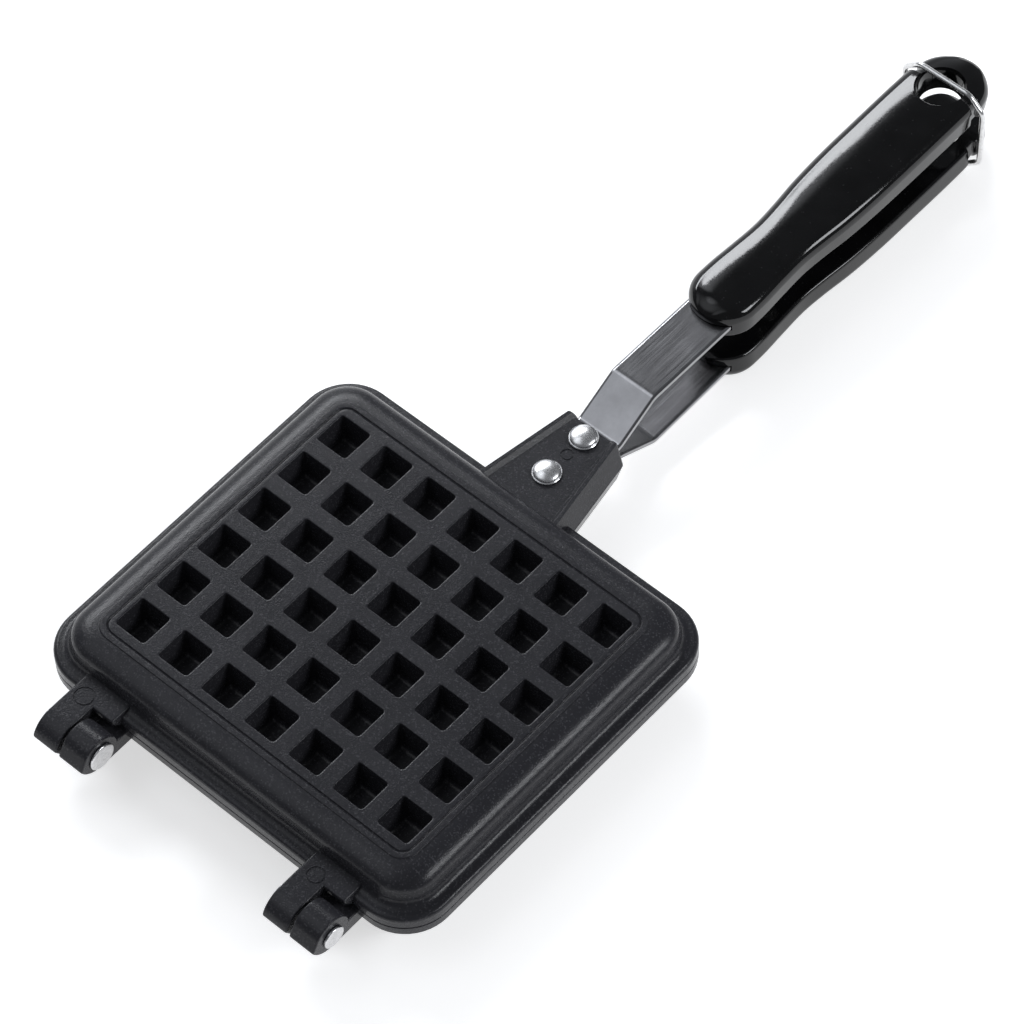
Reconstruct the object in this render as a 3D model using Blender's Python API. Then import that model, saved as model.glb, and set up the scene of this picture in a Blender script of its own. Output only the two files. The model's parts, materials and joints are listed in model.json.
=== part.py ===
"""Stovetop waffle iron, modelled as separate pieces in their closed and latched position.

Two identical cast plates face each other on two pin hinges. Each plate has a tongue that takes a bent
steel strap on two rivets, and each strap carries a moulded grip on one screw. A closed wire ring lies in
the neck grooves of both grips and holds the iron shut.

Metres, +Z up. The origin is the centre of the lower plate's outer face, +Y points to the grips and the
hinges are at -Y. Every mesh of a half is drawn for the upper half, with z = 0 on the parting plane
between the plates. The lower half is the same set of pieces turned half a turn about the Y axis.
"""

import math

import bmesh
import bpy
from mathutils import Vector

# Grid of pits in the outer face, which are the backs of the pegs in the cooking face
PITCH = 0.018
COLUMNS = 7
ROWS = 6
PIT_WIDTH = 0.012
PIT_CORNER = 0.0011
PIT_DEPTH = 0.0106
PIT_DRAFT = 0.0008
PEG_WALL = 0.0016
PEG_FLOOR = 0.0017

# Plate, measured from the parting plane and inwards from the rim
PLATE_HEIGHT = 0.0147
PARTING_GAP = 0.0003
PANEL_MARGIN_X = 0.0017
PANEL_MARGIN_Y = 0.0031
PANEL_CORNER = 0.0036
GROOVE_WIDTH = 0.0009
GROOVE_DEPTH = 0.0005
BORDER_WIDTH = 0.0030
BORDER_CORNER = 0.0063
BORDER_STEP = 0.0004
SHOULDER_RUN = 0.0086
SHOULDER_DROP = 0.0050
WALL_DRAFT = 0.0004
FLANGE_RUN = 0.0050
FLANGE_HEIGHT = 0.0046
FLANGE_ROUND = 0.0004
FLANGE_FILLET = 0.0016
RIM_CORNER = 0.0165
CASTING_WALL = 0.0025
CAVITY_ROUND = 0.0030

# Hinge: each plate has two arms, always on the left of their pads
HINGE_INSET = 0.03055
HINGE_REACH = 0.0117
ARM_WIDTH = 0.0098
ARM_SIDE_GAP = 0.0011
ARM_TOP = 0.0060
ARM_ARC_RADIUS = 0.0120
ARM_END_REACH = 0.0084
BARREL_RADIUS = 0.0072
PAD_WIDTH = 0.0182
PAD_CLEARANCE = 0.0084
PAD_LIP = 0.0020
PIN_RADIUS = 0.0030
PIN_CLEARANCE = 0.0002
PIN_HEAD_RADIUS = 0.0048
PIN_HEAD_HEIGHT = 0.0010
PIN_TAIL_RADIUS = 0.0040
PIN_TAIL_HEIGHT = 0.0009

# Tongue that carries the strap
TONGUE_REACH = 0.0308
TONGUE_TOP = 0.0093
TONGUE_ROOT_HALF = 0.0149
TONGUE_END_HALF = 0.0098
TONGUE_FLARE = 0.0026
TONGUE_RIDGE = 0.0012
TONGUE_RIDGE_SLOPE = 0.0014
TONGUE_RECESS = 0.0014
TONGUE_END_ROUND = 0.0010

# Strap, as a strip bent in the YZ plane
STRAP_WIDTH = 0.0174
STRAP_THICKNESS = 0.0020
STRAP_FOOT_HEIGHT = 0.00255
STRAP_FOOT_SETBACK = 0.0030
STRAP_FIRST_BEND = 0.0028
STRAP_SLOPE_RUN = 0.0164
STRAP_RISE = 0.0089
STRAP_RUN = 0.0913
STRAP_FALL = 0.0015
STRAP_BEND_RADIUS = 0.0050
STRAP_SIDE_CLEARANCE = 0.0004
SEAT_GAP = 0.0003

# Rivets, one near the plate and one near the tongue's end
RIVET_FIRST = 0.0085
RIVET_SPACING = 0.0174
RIVET_RADIUS = 0.0025
RIVET_CLEARANCE = 0.0002
RIVET_HEAD_RADIUS = 0.00485
RIVET_HEAD_HEIGHT = 0.0024
RIVET_HEAD_RIM = 0.0005
RIVET_TAIL_RADIUS = 0.0040
RIVET_TAIL_HEIGHT = 0.0008

# Grip
GRIP_FROM_BEND = 0.0328
GRIP_LENGTH = 0.1375
GRIP_HALF_WIDTH = 0.0136
GRIP_INNER = 0.0060
GRIP_THICKNESS = 0.0118
GRIP_EDGE_ROUND = 0.0012
GRIP_SIDE_DRAFT = 0.0003
GRIP_SHOULDER = 0.0042
GRIP_BACK_RISE = 0.0008
GRIP_FRONT_TOP = 0.0080
GRIP_FRONT_INNER = 0.0050
GRIP_FRONT_LIP = 0.0008
GRIP_END_TOP = 0.0165
GRIP_END_INNER = 0.0060
NECK_FROM_END = 0.0154
NECK_WIDTH = 0.0050
NECK_FLANK = 0.0007
NECK_DEPTH = 0.0012
NECK_TOP_DEPTH = 0.0004
HANG_HOLE_FROM_END = 0.0168
HANG_HOLE_RADIUS = 0.0074
HANG_DISH_HALF_X = 0.0092
HANG_DISH_HALF_Y = 0.0106
HANG_DISH_SHIFT = 0.0004
HANG_DISH_LAND = 0.0020
SLOT_CLEARANCE = 0.0003

# Shape of the grip: share of its length, then shares of its full half width and thickness there
GRIP_PLAN_SHARES = (
    (0.00, 0.870), (0.12, 0.885), (0.20, 0.840), (0.28, 0.812), (0.35, 0.860),
    (0.43, 0.940), (0.52, 0.985), (0.62, 1.000), (0.86, 1.000), (0.92, 0.975), (1.00, 0.975),
)
GRIP_CROWN_SHARES = (
    (0.00, 0.980), (0.10, 0.985), (0.19, 0.975), (0.28, 0.950), (0.36, 0.945),
    (0.45, 0.970), (0.56, 0.995), (0.64, 1.000), (0.86, 1.000), (0.91, 0.880), (1.00, 0.880),
)

# Screw that holds the grip on its strap, from the side that faces the other grip
SCREW_FROM_FRONT = 0.0335
SCREW_RADIUS = 0.0020
SCREW_CLEARANCE = 0.0002
SCREW_HEAD_RADIUS = 0.0035
SCREW_HEAD_HEIGHT = 0.0022
SCREW_HEAD_RECESS = 0.0004
SCREW_PAST_STRAP = 0.0020
SCREW_DRIVE_HALF = 0.0020
SCREW_DRIVE_SLOT = 0.0005
SCREW_DRIVE_DEPTH = 0.0010

# Latch ring of round wire, drawn on the wire's centre line
WIRE_RADIUS = 0.0010
RING_SIDE_PLAY = 0.0015
RING_TOP_PLAY = 0.0005
RING_NEST = 0.0002
RING_CORNER_RUN = 0.0060
RING_CORNER_RISE = 0.0055
RING_BEND_RADIUS = 0.0040

# One overrun for cutters and for pieces that are joined by overlapping
OVERRUN = 0.0010

# Facets
CORNER_STEPS = 5
ARC_STEPS = 5
ROUND_STEPS = 18
DOME_STEPS = 3
WIRE_SIDES = 8
TURN = 2.0 * math.pi

# Derived places, shared by the pieces
PIT_ORIGIN_X = -0.5 * (COLUMNS - 1) * PITCH
PIT_ORIGIN_Y = -0.5 * (ROWS - 1) * PITCH
PANEL_HALF_X = -PIT_ORIGIN_X + 0.5 * PIT_WIDTH + PANEL_MARGIN_X
PANEL_HALF_Y = -PIT_ORIGIN_Y + 0.5 * PIT_WIDTH + PANEL_MARGIN_Y
RIM_INSET = BORDER_WIDTH + SHOULDER_RUN + FLANGE_RUN
RIM_HALF_X = PANEL_HALF_X + RIM_INSET
RIM_HALF_Y = PANEL_HALF_Y + RIM_INSET
PARTING_FACE = 0.5 * PARTING_GAP
HINGE_Y = -(RIM_HALF_Y + HINGE_REACH)
HINGE_SPACING = 2.0 * (RIM_HALF_X - HINGE_INSET)
TONGUE_END = RIM_HALF_Y + TONGUE_REACH
TONGUE_FLOOR = TONGUE_TOP - TONGUE_RECESS
STRAP_START = RIM_HALF_Y + STRAP_FOOT_SETBACK
STRAP_SLOPE_START = TONGUE_END + STRAP_FIRST_BEND
STRAP_SLOPE_END = STRAP_SLOPE_START + STRAP_SLOPE_RUN
STRAP_CREST = STRAP_FOOT_HEIGHT + STRAP_RISE
STRAP_TIP = STRAP_SLOPE_END + STRAP_RUN
CHANNEL_CEILING = STRAP_FOOT_HEIGHT + 0.5 * STRAP_THICKNESS + SEAT_GAP
RIVET_PLACES = (
    ("inner", RIM_HALF_Y + RIVET_FIRST),
    ("outer", RIM_HALF_Y + RIVET_FIRST + RIVET_SPACING),
)
GRIP_START = STRAP_SLOPE_END + GRIP_FROM_BEND
GRIP_END = GRIP_START + GRIP_LENGTH
GRIP_CROWN = GRIP_INNER + GRIP_THICKNESS
GRIP_MIDDLE = GRIP_INNER + 0.5 * GRIP_THICKNESS
NECK_Y = GRIP_END - NECK_FROM_END
HANG_HOLE_Y = GRIP_END - HANG_HOLE_FROM_END
SCREW_Y = GRIP_START + SCREW_FROM_FRONT
RING_DROP = GRIP_CROWN - GRIP_BACK_RISE - NECK_TOP_DEPTH + WIRE_RADIUS - RING_NEST


def clear_scene():
    """Removes whatever the scene holds, so that only the iron is left."""
    for item in list(bpy.data.objects):
        bpy.data.objects.remove(item, do_unlink=True)


def material(name, color, roughness, metallic):
    """A Principled material with one colour, roughness and metallic value."""
    made = bpy.data.materials.new(name)
    made.use_nodes = True
    shader = made.node_tree.nodes["Principled BSDF"]
    shader.inputs["Base Color"].default_value = (*color, 1.0)
    shader.inputs["Roughness"].default_value = roughness
    shader.inputs["Metallic"].default_value = metallic
    return made


def place(name, mesh, finish, parent=None, location=(0.0, 0.0, 0.0)):
    """Makes one named object of a mesh, with its material and its parent."""
    if not mesh.materials:
        mesh.materials.append(finish)
    item = bpy.data.objects.new(name, mesh)
    bpy.context.scene.collection.objects.link(item)
    item.location = location
    item.parent = parent
    return item


def empty(name, location, rotation=(0.0, 0.0, 0.0)):
    """An empty that carries pieces, such as the ones that turn on a joint's axis."""
    item = bpy.data.objects.new(name, None)
    bpy.context.scene.collection.objects.link(item)
    item.location = location
    item.rotation_euler = rotation
    return item


def finish_mesh(name, bm, smooth_angle=math.radians(35.0)):
    """Turns a bmesh into a mesh whose faces point out, smooth up to the given angle."""
    bmesh.ops.recalc_face_normals(bm, faces=bm.faces[:])
    mesh = bpy.data.meshes.new(name)
    bm.to_mesh(mesh)
    bm.free()
    mesh.shade_smooth()
    mesh.set_sharp_from_angle(angle=smooth_angle)
    return mesh


def add_loft(bm, rings, closed=False):
    """Skins a row of rings that have the same number of points. An open row gets its two end caps."""
    rows = [[bm.verts.new(point) for point in ring] for ring in rings]
    count = len(rows[0])
    pairs = list(zip(rows, rows[1:]))
    if closed:
        pairs.append((rows[-1], rows[0]))
    for lower, upper in pairs:
        for i in range(count):
            j = (i + 1) % count
            bm.faces.new((lower[i], lower[j], upper[j], upper[i]))
    if not closed:
        bm.faces.new(list(reversed(rows[0])))
        bm.faces.new(rows[-1])


def loft_mesh(name, rings, closed=False):
    """One skinned body as a mesh."""
    bm = bmesh.new()
    add_loft(bm, rings, closed)
    return finish_mesh(name, bm)


def add_profile_x(bm, profile, x_low, x_high):
    """A profile of (y, z) points drawn out along X."""
    add_loft(bm, [[(x, y, z) for y, z in profile] for x in (x_low, x_high)])


def add_box(bm, low, high):
    """A box between two corners."""
    x0, y0, z0 = low
    x1, y1, z1 = high
    rings = [[(x0, y0, z), (x1, y0, z), (x1, y1, z), (x0, y1, z)] for z in (z0, z1)]
    add_loft(bm, rings)


def add_turned(bm, profile, centre, axis, steps=ROUND_STEPS):
    """A solid turned about an axis. Its profile is (radius, height) points between two points on the axis."""
    along = Vector(axis).normalized()
    side = along.orthogonal().normalized()
    across = along.cross(side)
    base = Vector(centre)
    rings = []
    for radius, height in profile[1:-1]:
        ring = []
        for i in range(steps):
            angle = TURN * i / steps
            offset = side * (radius * math.cos(angle)) + across * (radius * math.sin(angle))
            ring.append(bm.verts.new(base + along * height + offset))
        rings.append(ring)
    for lower, upper in zip(rings, rings[1:]):
        for i in range(steps):
            j = (i + 1) % steps
            bm.faces.new((lower[i], lower[j], upper[j], upper[i]))
    for (_, height), ring in ((profile[0], rings[0]), (profile[-1], rings[-1])):
        centre_vert = bm.verts.new(base + along * height)
        for i in range(steps):
            bm.faces.new((ring[i], ring[(i + 1) % steps], centre_vert))


def drum(radius, low, high):
    """The profile of a plain round bar."""
    return [(0.0, low), (radius, low), (radius, high), (0.0, high)]


def dome(radius, rim, height, base):
    """Profile points of a low dome on a short rim, from its rim up to its top."""
    points = [(radius, base), (radius, base + rim)]
    inner = radius - rim
    for i in range(1, DOME_STEPS):
        angle = 0.5 * math.pi * i / DOME_STEPS
        points.append((inner * math.cos(angle), base + rim + (height - rim) * math.sin(angle)))
    points.append((0.0, base + height))
    return points


def rounded_rectangle(half_x, half_y, corner, z, steps=CORNER_STEPS):
    """Points round a rectangle with round corners, counter-clockwise from its right side."""
    points = []
    for quarter in range(4):
        sx = 1.0 if quarter in (0, 3) else -1.0
        sy = 1.0 if quarter in (0, 1) else -1.0
        cx = sx * (half_x - corner)
        cy = sy * (half_y - corner)
        for i in range(steps + 1):
            angle = 0.5 * math.pi * (quarter + i / steps)
            points.append((cx + corner * math.cos(angle), cy + corner * math.sin(angle), z))
    return points


def combine(base, tool, operation):
    """Joins a tool to a mesh, or cuts it out, and gives back the new mesh."""
    scene = bpy.context.scene.collection
    body = bpy.data.objects.new("body_in_work", base)
    knife = bpy.data.objects.new("tool_in_work", tool)
    scene.objects.link(body)
    scene.objects.link(knife)
    modifier = body.modifiers.new("combine", "BOOLEAN")
    modifier.operation = operation
    modifier.solver = "EXACT"
    modifier.object = knife
    bpy.context.view_layer.update()
    graph = bpy.context.evaluated_depsgraph_get()
    result = bpy.data.meshes.new_from_object(body.evaluated_get(graph), depsgraph=graph)
    bpy.data.objects.remove(body, do_unlink=True)
    bpy.data.objects.remove(knife, do_unlink=True)
    return result


def tool_mesh(bm):
    """A mesh for a tool of combine, with its faces pointing out."""
    bmesh.ops.recalc_face_normals(bm, faces=bm.faces[:])
    mesh = bpy.data.meshes.new("tool")
    bm.to_mesh(mesh)
    bm.free()
    return mesh


def tidy(name, mesh, smooth_angle=math.radians(35.0)):
    """Renames a combined mesh, drops points that lie on each other, and sets its shading."""
    bm = bmesh.new()
    bm.from_mesh(mesh)
    bmesh.ops.remove_doubles(bm, verts=bm.verts[:], dist=OVERRUN * 1e-4)
    bmesh.ops.dissolve_limit(
        bm, angle_limit=math.radians(0.2), verts=bm.verts[:], edges=bm.edges[:], delimit=set()
    )
    return finish_mesh(name, bm, smooth_angle)


def plate_ring(inset, z):
    """A ring round the plate, at a distance in from the rim and a height over the parting plane."""
    share = min(inset / (SHOULDER_RUN + FLANGE_RUN), 1.0)
    corner = RIM_CORNER + (BORDER_CORNER - RIM_CORNER) * share
    return rounded_rectangle(RIM_HALF_X - inset, RIM_HALF_Y - inset, corner, z)


def plate_shell():
    """The plate's outer form: flange, fillet, drafted wall, domed shoulder, border and panel."""
    rings = [
        plate_ring(0.0, PARTING_FACE),
        plate_ring(0.0, FLANGE_HEIGHT - FLANGE_ROUND),
        plate_ring(FLANGE_ROUND, FLANGE_HEIGHT),
    ]
    for i in range(ARC_STEPS - 1):
        angle = 0.5 * math.pi * i / (ARC_STEPS - 2)
        inset = FLANGE_RUN - FLANGE_FILLET * (1.0 - math.sin(angle))
        rings.append(plate_ring(inset, FLANGE_HEIGHT + FLANGE_FILLET * (1.0 - math.cos(angle))))
    border_z = PLATE_HEIGHT - BORDER_STEP
    wall_top = border_z - SHOULDER_DROP
    run = SHOULDER_RUN - WALL_DRAFT
    for i in range(ARC_STEPS + 1):
        angle = 0.5 * math.pi * i / ARC_STEPS
        inset = FLANGE_RUN + WALL_DRAFT + run * (1.0 - math.cos(angle))
        rings.append(plate_ring(inset, wall_top + SHOULDER_DROP * math.sin(angle)))
    border_inset = FLANGE_RUN + SHOULDER_RUN
    rings.append(plate_ring(border_inset + BORDER_STEP, PLATE_HEIGHT))
    for share, z in ((1.0, PLATE_HEIGHT), (0.5, PLATE_HEIGHT - GROOVE_DEPTH), (0.0, PLATE_HEIGHT)):
        grow = share * GROOVE_WIDTH
        rings.append(rounded_rectangle(PANEL_HALF_X + grow, PANEL_HALF_Y + grow, PANEL_CORNER + grow, z))
    return loft_mesh("plate_shell", rings)


def cavity_tool():
    """The hollow of the cooking face, without its pegs."""
    ceiling = PLATE_HEIGHT - CASTING_WALL
    wall_inset = FLANGE_RUN + CASTING_WALL
    rings = [plate_ring(wall_inset, -OVERRUN), plate_ring(wall_inset, PARTING_FACE)]
    rings.append(plate_ring(wall_inset + WALL_DRAFT, ceiling - CAVITY_ROUND))
    for i in range(1, 4):
        angle = 0.5 * math.pi * i / 3
        inset = wall_inset + WALL_DRAFT + CAVITY_ROUND * (1.0 - math.cos(angle))
        rings.append(plate_ring(inset, ceiling - CAVITY_ROUND * (1.0 - math.sin(angle))))
    bm = bmesh.new()
    add_loft(bm, rings)
    return tool_mesh(bm)


def pit_centres():
    """The middle of each pit, column by column."""
    for column in range(COLUMNS):
        for row in range(ROWS):
            yield PIT_ORIGIN_X + column * PITCH, PIT_ORIGIN_Y + row * PITCH


def add_tapered_squares(bm, levels):
    """One tapered square with clipped corners at each pit. A level is (half width, corner, z)."""
    for cx, cy in pit_centres():
        rings = []
        for half, corner, z in levels:
            ring = rounded_rectangle(half, half, corner, z, steps=1)
            rings.append([(cx + x, cy + y, height) for x, y, height in ring])
        add_loft(bm, rings)


def pegs_tool():
    """The pegs of the cooking face, joined to its ceiling."""
    root = PLATE_HEIGHT - CASTING_WALL
    tip = PLATE_HEIGHT - PIT_DEPTH - PEG_FLOOR
    half_root = 0.5 * PIT_WIDTH + PEG_WALL
    half_tip = half_root - PIT_DRAFT
    corner = PIT_CORNER + PEG_WALL
    levels = (
        (half_tip, corner, tip),
        (half_root, corner, root),
        (half_root, corner, root + 0.5 * CASTING_WALL),
    )
    bm = bmesh.new()
    add_tapered_squares(bm, levels)
    return tool_mesh(bm)


def pits_tool():
    """The pits in the outer face, one in the back of each peg."""
    half = 0.5 * PIT_WIDTH
    floor = PLATE_HEIGHT - PIT_DEPTH
    levels = (
        (half - PIT_DRAFT, PIT_CORNER, floor),
        (half, PIT_CORNER, PLATE_HEIGHT),
        (half, PIT_CORNER, PLATE_HEIGHT + OVERRUN),
    )
    bm = bmesh.new()
    add_tapered_squares(bm, levels)
    return tool_mesh(bm)


def arm_profile():
    """The arm's (y, z) outline: flat on top, rounded down past the pin, and a barrel under the pin."""
    root = HINGE_REACH + FLANGE_RUN + OVERRUN
    arc_y = math.sqrt(ARM_ARC_RADIUS ** 2 - (ARM_ARC_RADIUS - ARM_TOP) ** 2) - ARM_END_REACH
    arc_z = ARM_TOP - ARM_ARC_RADIUS
    end_angle = math.acos((-ARM_END_REACH - arc_y) / ARM_ARC_RADIUS)
    points = [(root, ARM_TOP)]
    for i in range(2 * ARC_STEPS + 1):
        angle = 0.5 * math.pi + (end_angle - 0.5 * math.pi) * i / (2 * ARC_STEPS)
        points.append((arc_y + ARM_ARC_RADIUS * math.cos(angle), arc_z + ARM_ARC_RADIUS * math.sin(angle)))
    ledge = -points[-1][1]
    start = math.pi + math.asin(ledge / BARREL_RADIUS)
    stop = TURN + math.asin(PARTING_FACE / BARREL_RADIUS)
    for i in range(2 * ARC_STEPS + 1):
        angle = start + (stop - start) * i / (2 * ARC_STEPS)
        points.append((BARREL_RADIUS * math.cos(angle), BARREL_RADIUS * math.sin(angle)))
    points.append((root, PARTING_FACE))
    return [(HINGE_Y + y, z) for y, z in points]


def pad_profile():
    """The pad's (y, z) outline, cut back below so that it clears the other plate's arm."""
    root = HINGE_REACH + FLANGE_RUN + OVERRUN
    points = (
        (root, ARM_TOP),
        (PAD_CLEARANCE, ARM_TOP),
        (PAD_CLEARANCE, ARM_TOP - PAD_LIP),
        (HINGE_REACH - FLANGE_ROUND, PARTING_FACE),
        (root, PARTING_FACE),
    )
    return [(HINGE_Y + y, z) for y, z in points]


def hinge_sides():
    """The left side of each hinge, where its arm and pad begin."""
    for sign in (-1.0, 1.0):
        yield sign * 0.5 * HINGE_SPACING - ARM_WIDTH - 0.5 * ARM_SIDE_GAP


def tongue_section(y, half, top_drop=0.0, side_drop=0.0):
    """The tongue's cross-section at y: drafted sides, a ridge along each edge and a recess between."""
    top = TONGUE_TOP - top_drop
    ridge_out = half - side_drop
    ridge_in = ridge_out - TONGUE_RIDGE
    recess = ridge_in - TONGUE_RIDGE_SLOPE
    foot = half + TONGUE_FLARE - side_drop
    round_off = 0.5 * TONGUE_RIDGE
    right = [
        (foot, PARTING_FACE),
        (ridge_out + 0.5 * round_off, top - round_off),
        (ridge_out - 0.5 * round_off, top),
        (ridge_in, top),
        (recess, TONGUE_FLOOR - top_drop),
    ]
    left = [(-x, z) for x, z in reversed(right)]
    return [(x, y, z) for x, z in right + left]


def tongue_tool():
    """The tongue, from inside the plate's wall to its rounded end."""
    root_y = RIM_HALF_Y - FLANGE_RUN - OVERRUN
    taper = (TONGUE_ROOT_HALF - TONGUE_END_HALF) / (TONGUE_END - RIM_HALF_Y)

    def half_at(y):
        return TONGUE_ROOT_HALF - taper * (y - RIM_HALF_Y)

    round_y = TONGUE_END - TONGUE_END_ROUND
    drop = TONGUE_END_ROUND
    bm = bmesh.new()
    add_loft(bm, [
        tongue_section(root_y, half_at(root_y)),
        tongue_section(round_y, half_at(round_y)),
        tongue_section(TONGUE_END, half_at(TONGUE_END), drop, drop),
    ])
    return tool_mesh(bm)


def arms_tool():
    """Both hinge arms with their pads, as bodies that overlap."""
    arms = bmesh.new()
    pads = bmesh.new()
    for left in hinge_sides():
        add_profile_x(arms, arm_profile(), left, left + ARM_WIDTH)
        add_profile_x(pads, pad_profile(), left, left + PAD_WIDTH)
    return combine(tool_mesh(arms), tool_mesh(pads), "UNION")


def channel_tool():
    """The channel under the tongue for the strap's foot, open at the tongue's end."""
    half = 0.5 * STRAP_WIDTH + STRAP_SIDE_CLEARANCE
    bm = bmesh.new()
    low = (-half, STRAP_START - STRAP_SIDE_CLEARANCE, -OVERRUN)
    add_box(bm, low, (half, TONGUE_END + OVERRUN, CHANNEL_CEILING))
    return tool_mesh(bm)


def bores_tool():
    """The holes for the hinge pins and for the rivets."""
    bm = bmesh.new()
    for left in hinge_sides():
        profile = drum(PIN_RADIUS + PIN_CLEARANCE, left - OVERRUN, left + ARM_WIDTH + OVERRUN)
        add_turned(bm, profile, (0.0, HINGE_Y, 0.0), (1.0, 0.0, 0.0))
    for _, y in RIVET_PLACES:
        profile = drum(RIVET_RADIUS + RIVET_CLEARANCE, 0.0, TONGUE_TOP + OVERRUN)
        add_turned(bm, profile, (0.0, y, 0.0), (0.0, 0.0, 1.0))
    return tool_mesh(bm)


def plate_mesh():
    """One cast plate, with its cavity, pegs, pits, hinge arms and tongue."""
    plate = plate_shell()
    plate = combine(plate, tongue_tool(), "UNION")
    plate = combine(plate, arms_tool(), "UNION")
    plate = combine(plate, cavity_tool(), "DIFFERENCE")
    plate = combine(plate, pegs_tool(), "UNION")
    plate = combine(plate, pits_tool(), "DIFFERENCE")
    plate = combine(plate, channel_tool(), "DIFFERENCE")
    plate = combine(plate, bores_tool(), "DIFFERENCE")
    return tidy("plate", plate)


def strap_path():
    """The strap's corners on its middle line, from its foot to its tip."""
    return [
        (STRAP_START, STRAP_FOOT_HEIGHT),
        (STRAP_SLOPE_START, STRAP_FOOT_HEIGHT),
        (STRAP_SLOPE_END, STRAP_CREST),
        (STRAP_TIP, STRAP_CREST - STRAP_FALL),
    ]


def bent_strip(path, radius, thickness, steps=ARC_STEPS):
    """The (y, z) outline of a strip that follows a path, with its corners bent to a radius."""
    middle = [(Vector(path[0]), None)]
    for before, corner, after in zip(path, path[1:], path[2:]):
        point = Vector(corner)
        back = (Vector(before) - point).normalized()
        ahead = (Vector(after) - point).normalized()
        half_angle = 0.5 * back.angle(ahead)
        reach = radius / math.tan(half_angle)
        centre = point + (back + ahead).normalized() * (radius / math.sin(half_angle))
        start = point + back * reach - centre
        stop = point + ahead * reach - centre
        sweep = start.angle(stop)
        for i in range(steps + 1):
            share = i / steps
            spoke = (start * math.sin((1.0 - share) * sweep) + stop * math.sin(share * sweep)) / math.sin(sweep)
            middle.append((centre + spoke, None))
    middle.append((Vector(path[-1]), None))
    points = [point for point, _ in middle]
    left = []
    right = []
    for i, point in enumerate(points):
        ahead = points[min(i + 1, len(points) - 1)] - points[max(i - 1, 0)]
        normal = Vector((-ahead.y, ahead.x)).normalized() * (0.5 * thickness)
        left.append(point + normal)
        right.append(point - normal)
    return [(p.x, p.y) for p in left + right[::-1]]


def strap_mesh():
    """The steel strap, with its two rivet holes and its screw hole."""
    bm = bmesh.new()
    profile = bent_strip(strap_path(), STRAP_BEND_RADIUS, STRAP_THICKNESS)
    add_profile_x(bm, profile, -0.5 * STRAP_WIDTH, 0.5 * STRAP_WIDTH)
    holes = bmesh.new()
    places = [(y, RIVET_RADIUS + RIVET_CLEARANCE) for _, y in RIVET_PLACES]
    places.append((SCREW_Y, SCREW_RADIUS + SCREW_CLEARANCE))
    for y, radius in places:
        add_turned(holes, drum(radius, 0.0, GRIP_CROWN), (0.0, y, 0.0), (0.0, 0.0, 1.0))
    return tidy("strap", combine(tool_mesh(bm), tool_mesh(holes), "DIFFERENCE"))


def rivet_mesh():
    """A rivet with a polished round head outside and a flat tail under the strap."""
    under_strap = STRAP_FOOT_HEIGHT - 0.5 * STRAP_THICKNESS - SEAT_GAP
    tail_end = under_strap - RIVET_TAIL_HEIGHT
    head = dome(RIVET_HEAD_RADIUS, RIVET_HEAD_RIM, RIVET_HEAD_HEIGHT, TONGUE_FLOOR + SEAT_GAP)
    profile = [
        (0.0, tail_end),
        (RIVET_TAIL_RADIUS, tail_end),
        (RIVET_TAIL_RADIUS, under_strap),
        (RIVET_RADIUS, under_strap),
        (RIVET_RADIUS, TONGUE_FLOOR + SEAT_GAP),
        *head,
    ]
    bm = bmesh.new()
    add_turned(bm, profile, (0.0, 0.0, 0.0), (0.0, 0.0, 1.0))
    return finish_mesh("rivet", bm)


def pin_mesh():
    """A hinge pin along +X: a round head, a shank through both arms and a riveted-over tail."""
    length = 2.0 * ARM_WIDTH + ARM_SIDE_GAP
    tail_seat = -0.5 * length - SEAT_GAP
    head_seat = 0.5 * length + SEAT_GAP
    round_off = 0.5 * PIN_TAIL_HEIGHT
    head = dome(PIN_HEAD_RADIUS, 0.5 * PIN_TAIL_HEIGHT, PIN_HEAD_HEIGHT, head_seat)
    profile = [
        (0.0, tail_seat - PIN_TAIL_HEIGHT),
        (PIN_TAIL_RADIUS - round_off, tail_seat - PIN_TAIL_HEIGHT),
        (PIN_TAIL_RADIUS, tail_seat - round_off),
        (PIN_TAIL_RADIUS, tail_seat),
        (PIN_RADIUS, tail_seat),
        (PIN_RADIUS, head_seat),
        *head,
    ]
    bm = bmesh.new()
    add_turned(bm, profile, (0.0, 0.0, 0.0), (1.0, 0.0, 0.0))
    return finish_mesh("hinge_pin", bm)


def smooth_share(table, share):
    """Reads a table of (share, value) points along a smooth curve that is level at its points' peaks."""
    for (x0, v0), (x1, v1) in zip(table, table[1:]):
        if share <= x1:
            index = table.index((x0, v0))
            before = table[max(index - 1, 0)]
            after = table[min(index + 2, len(table) - 1)]
            span = x1 - x0
            slope0 = (v1 - before[1]) / (x1 - before[0]) * span
            slope1 = (after[1] - v0) / (after[0] - x0) * span
            t = (share - x0) / span
            return (
                (2 * t ** 3 - 3 * t ** 2 + 1) * v0
                + (t ** 3 - 2 * t ** 2 + t) * slope0
                + (-2 * t ** 3 + 3 * t ** 2) * v1
                + (t ** 3 - t ** 2) * slope1
            )
    return table[-1][1]


def quarter_round(distance, length):
    """Rises from 0 at an end to 1 at the given length from it, as a quarter of an ellipse."""
    if distance >= length:
        return 1.0
    return math.sqrt(max(1.0 - (1.0 - distance / length) ** 2, 0.0))


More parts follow.
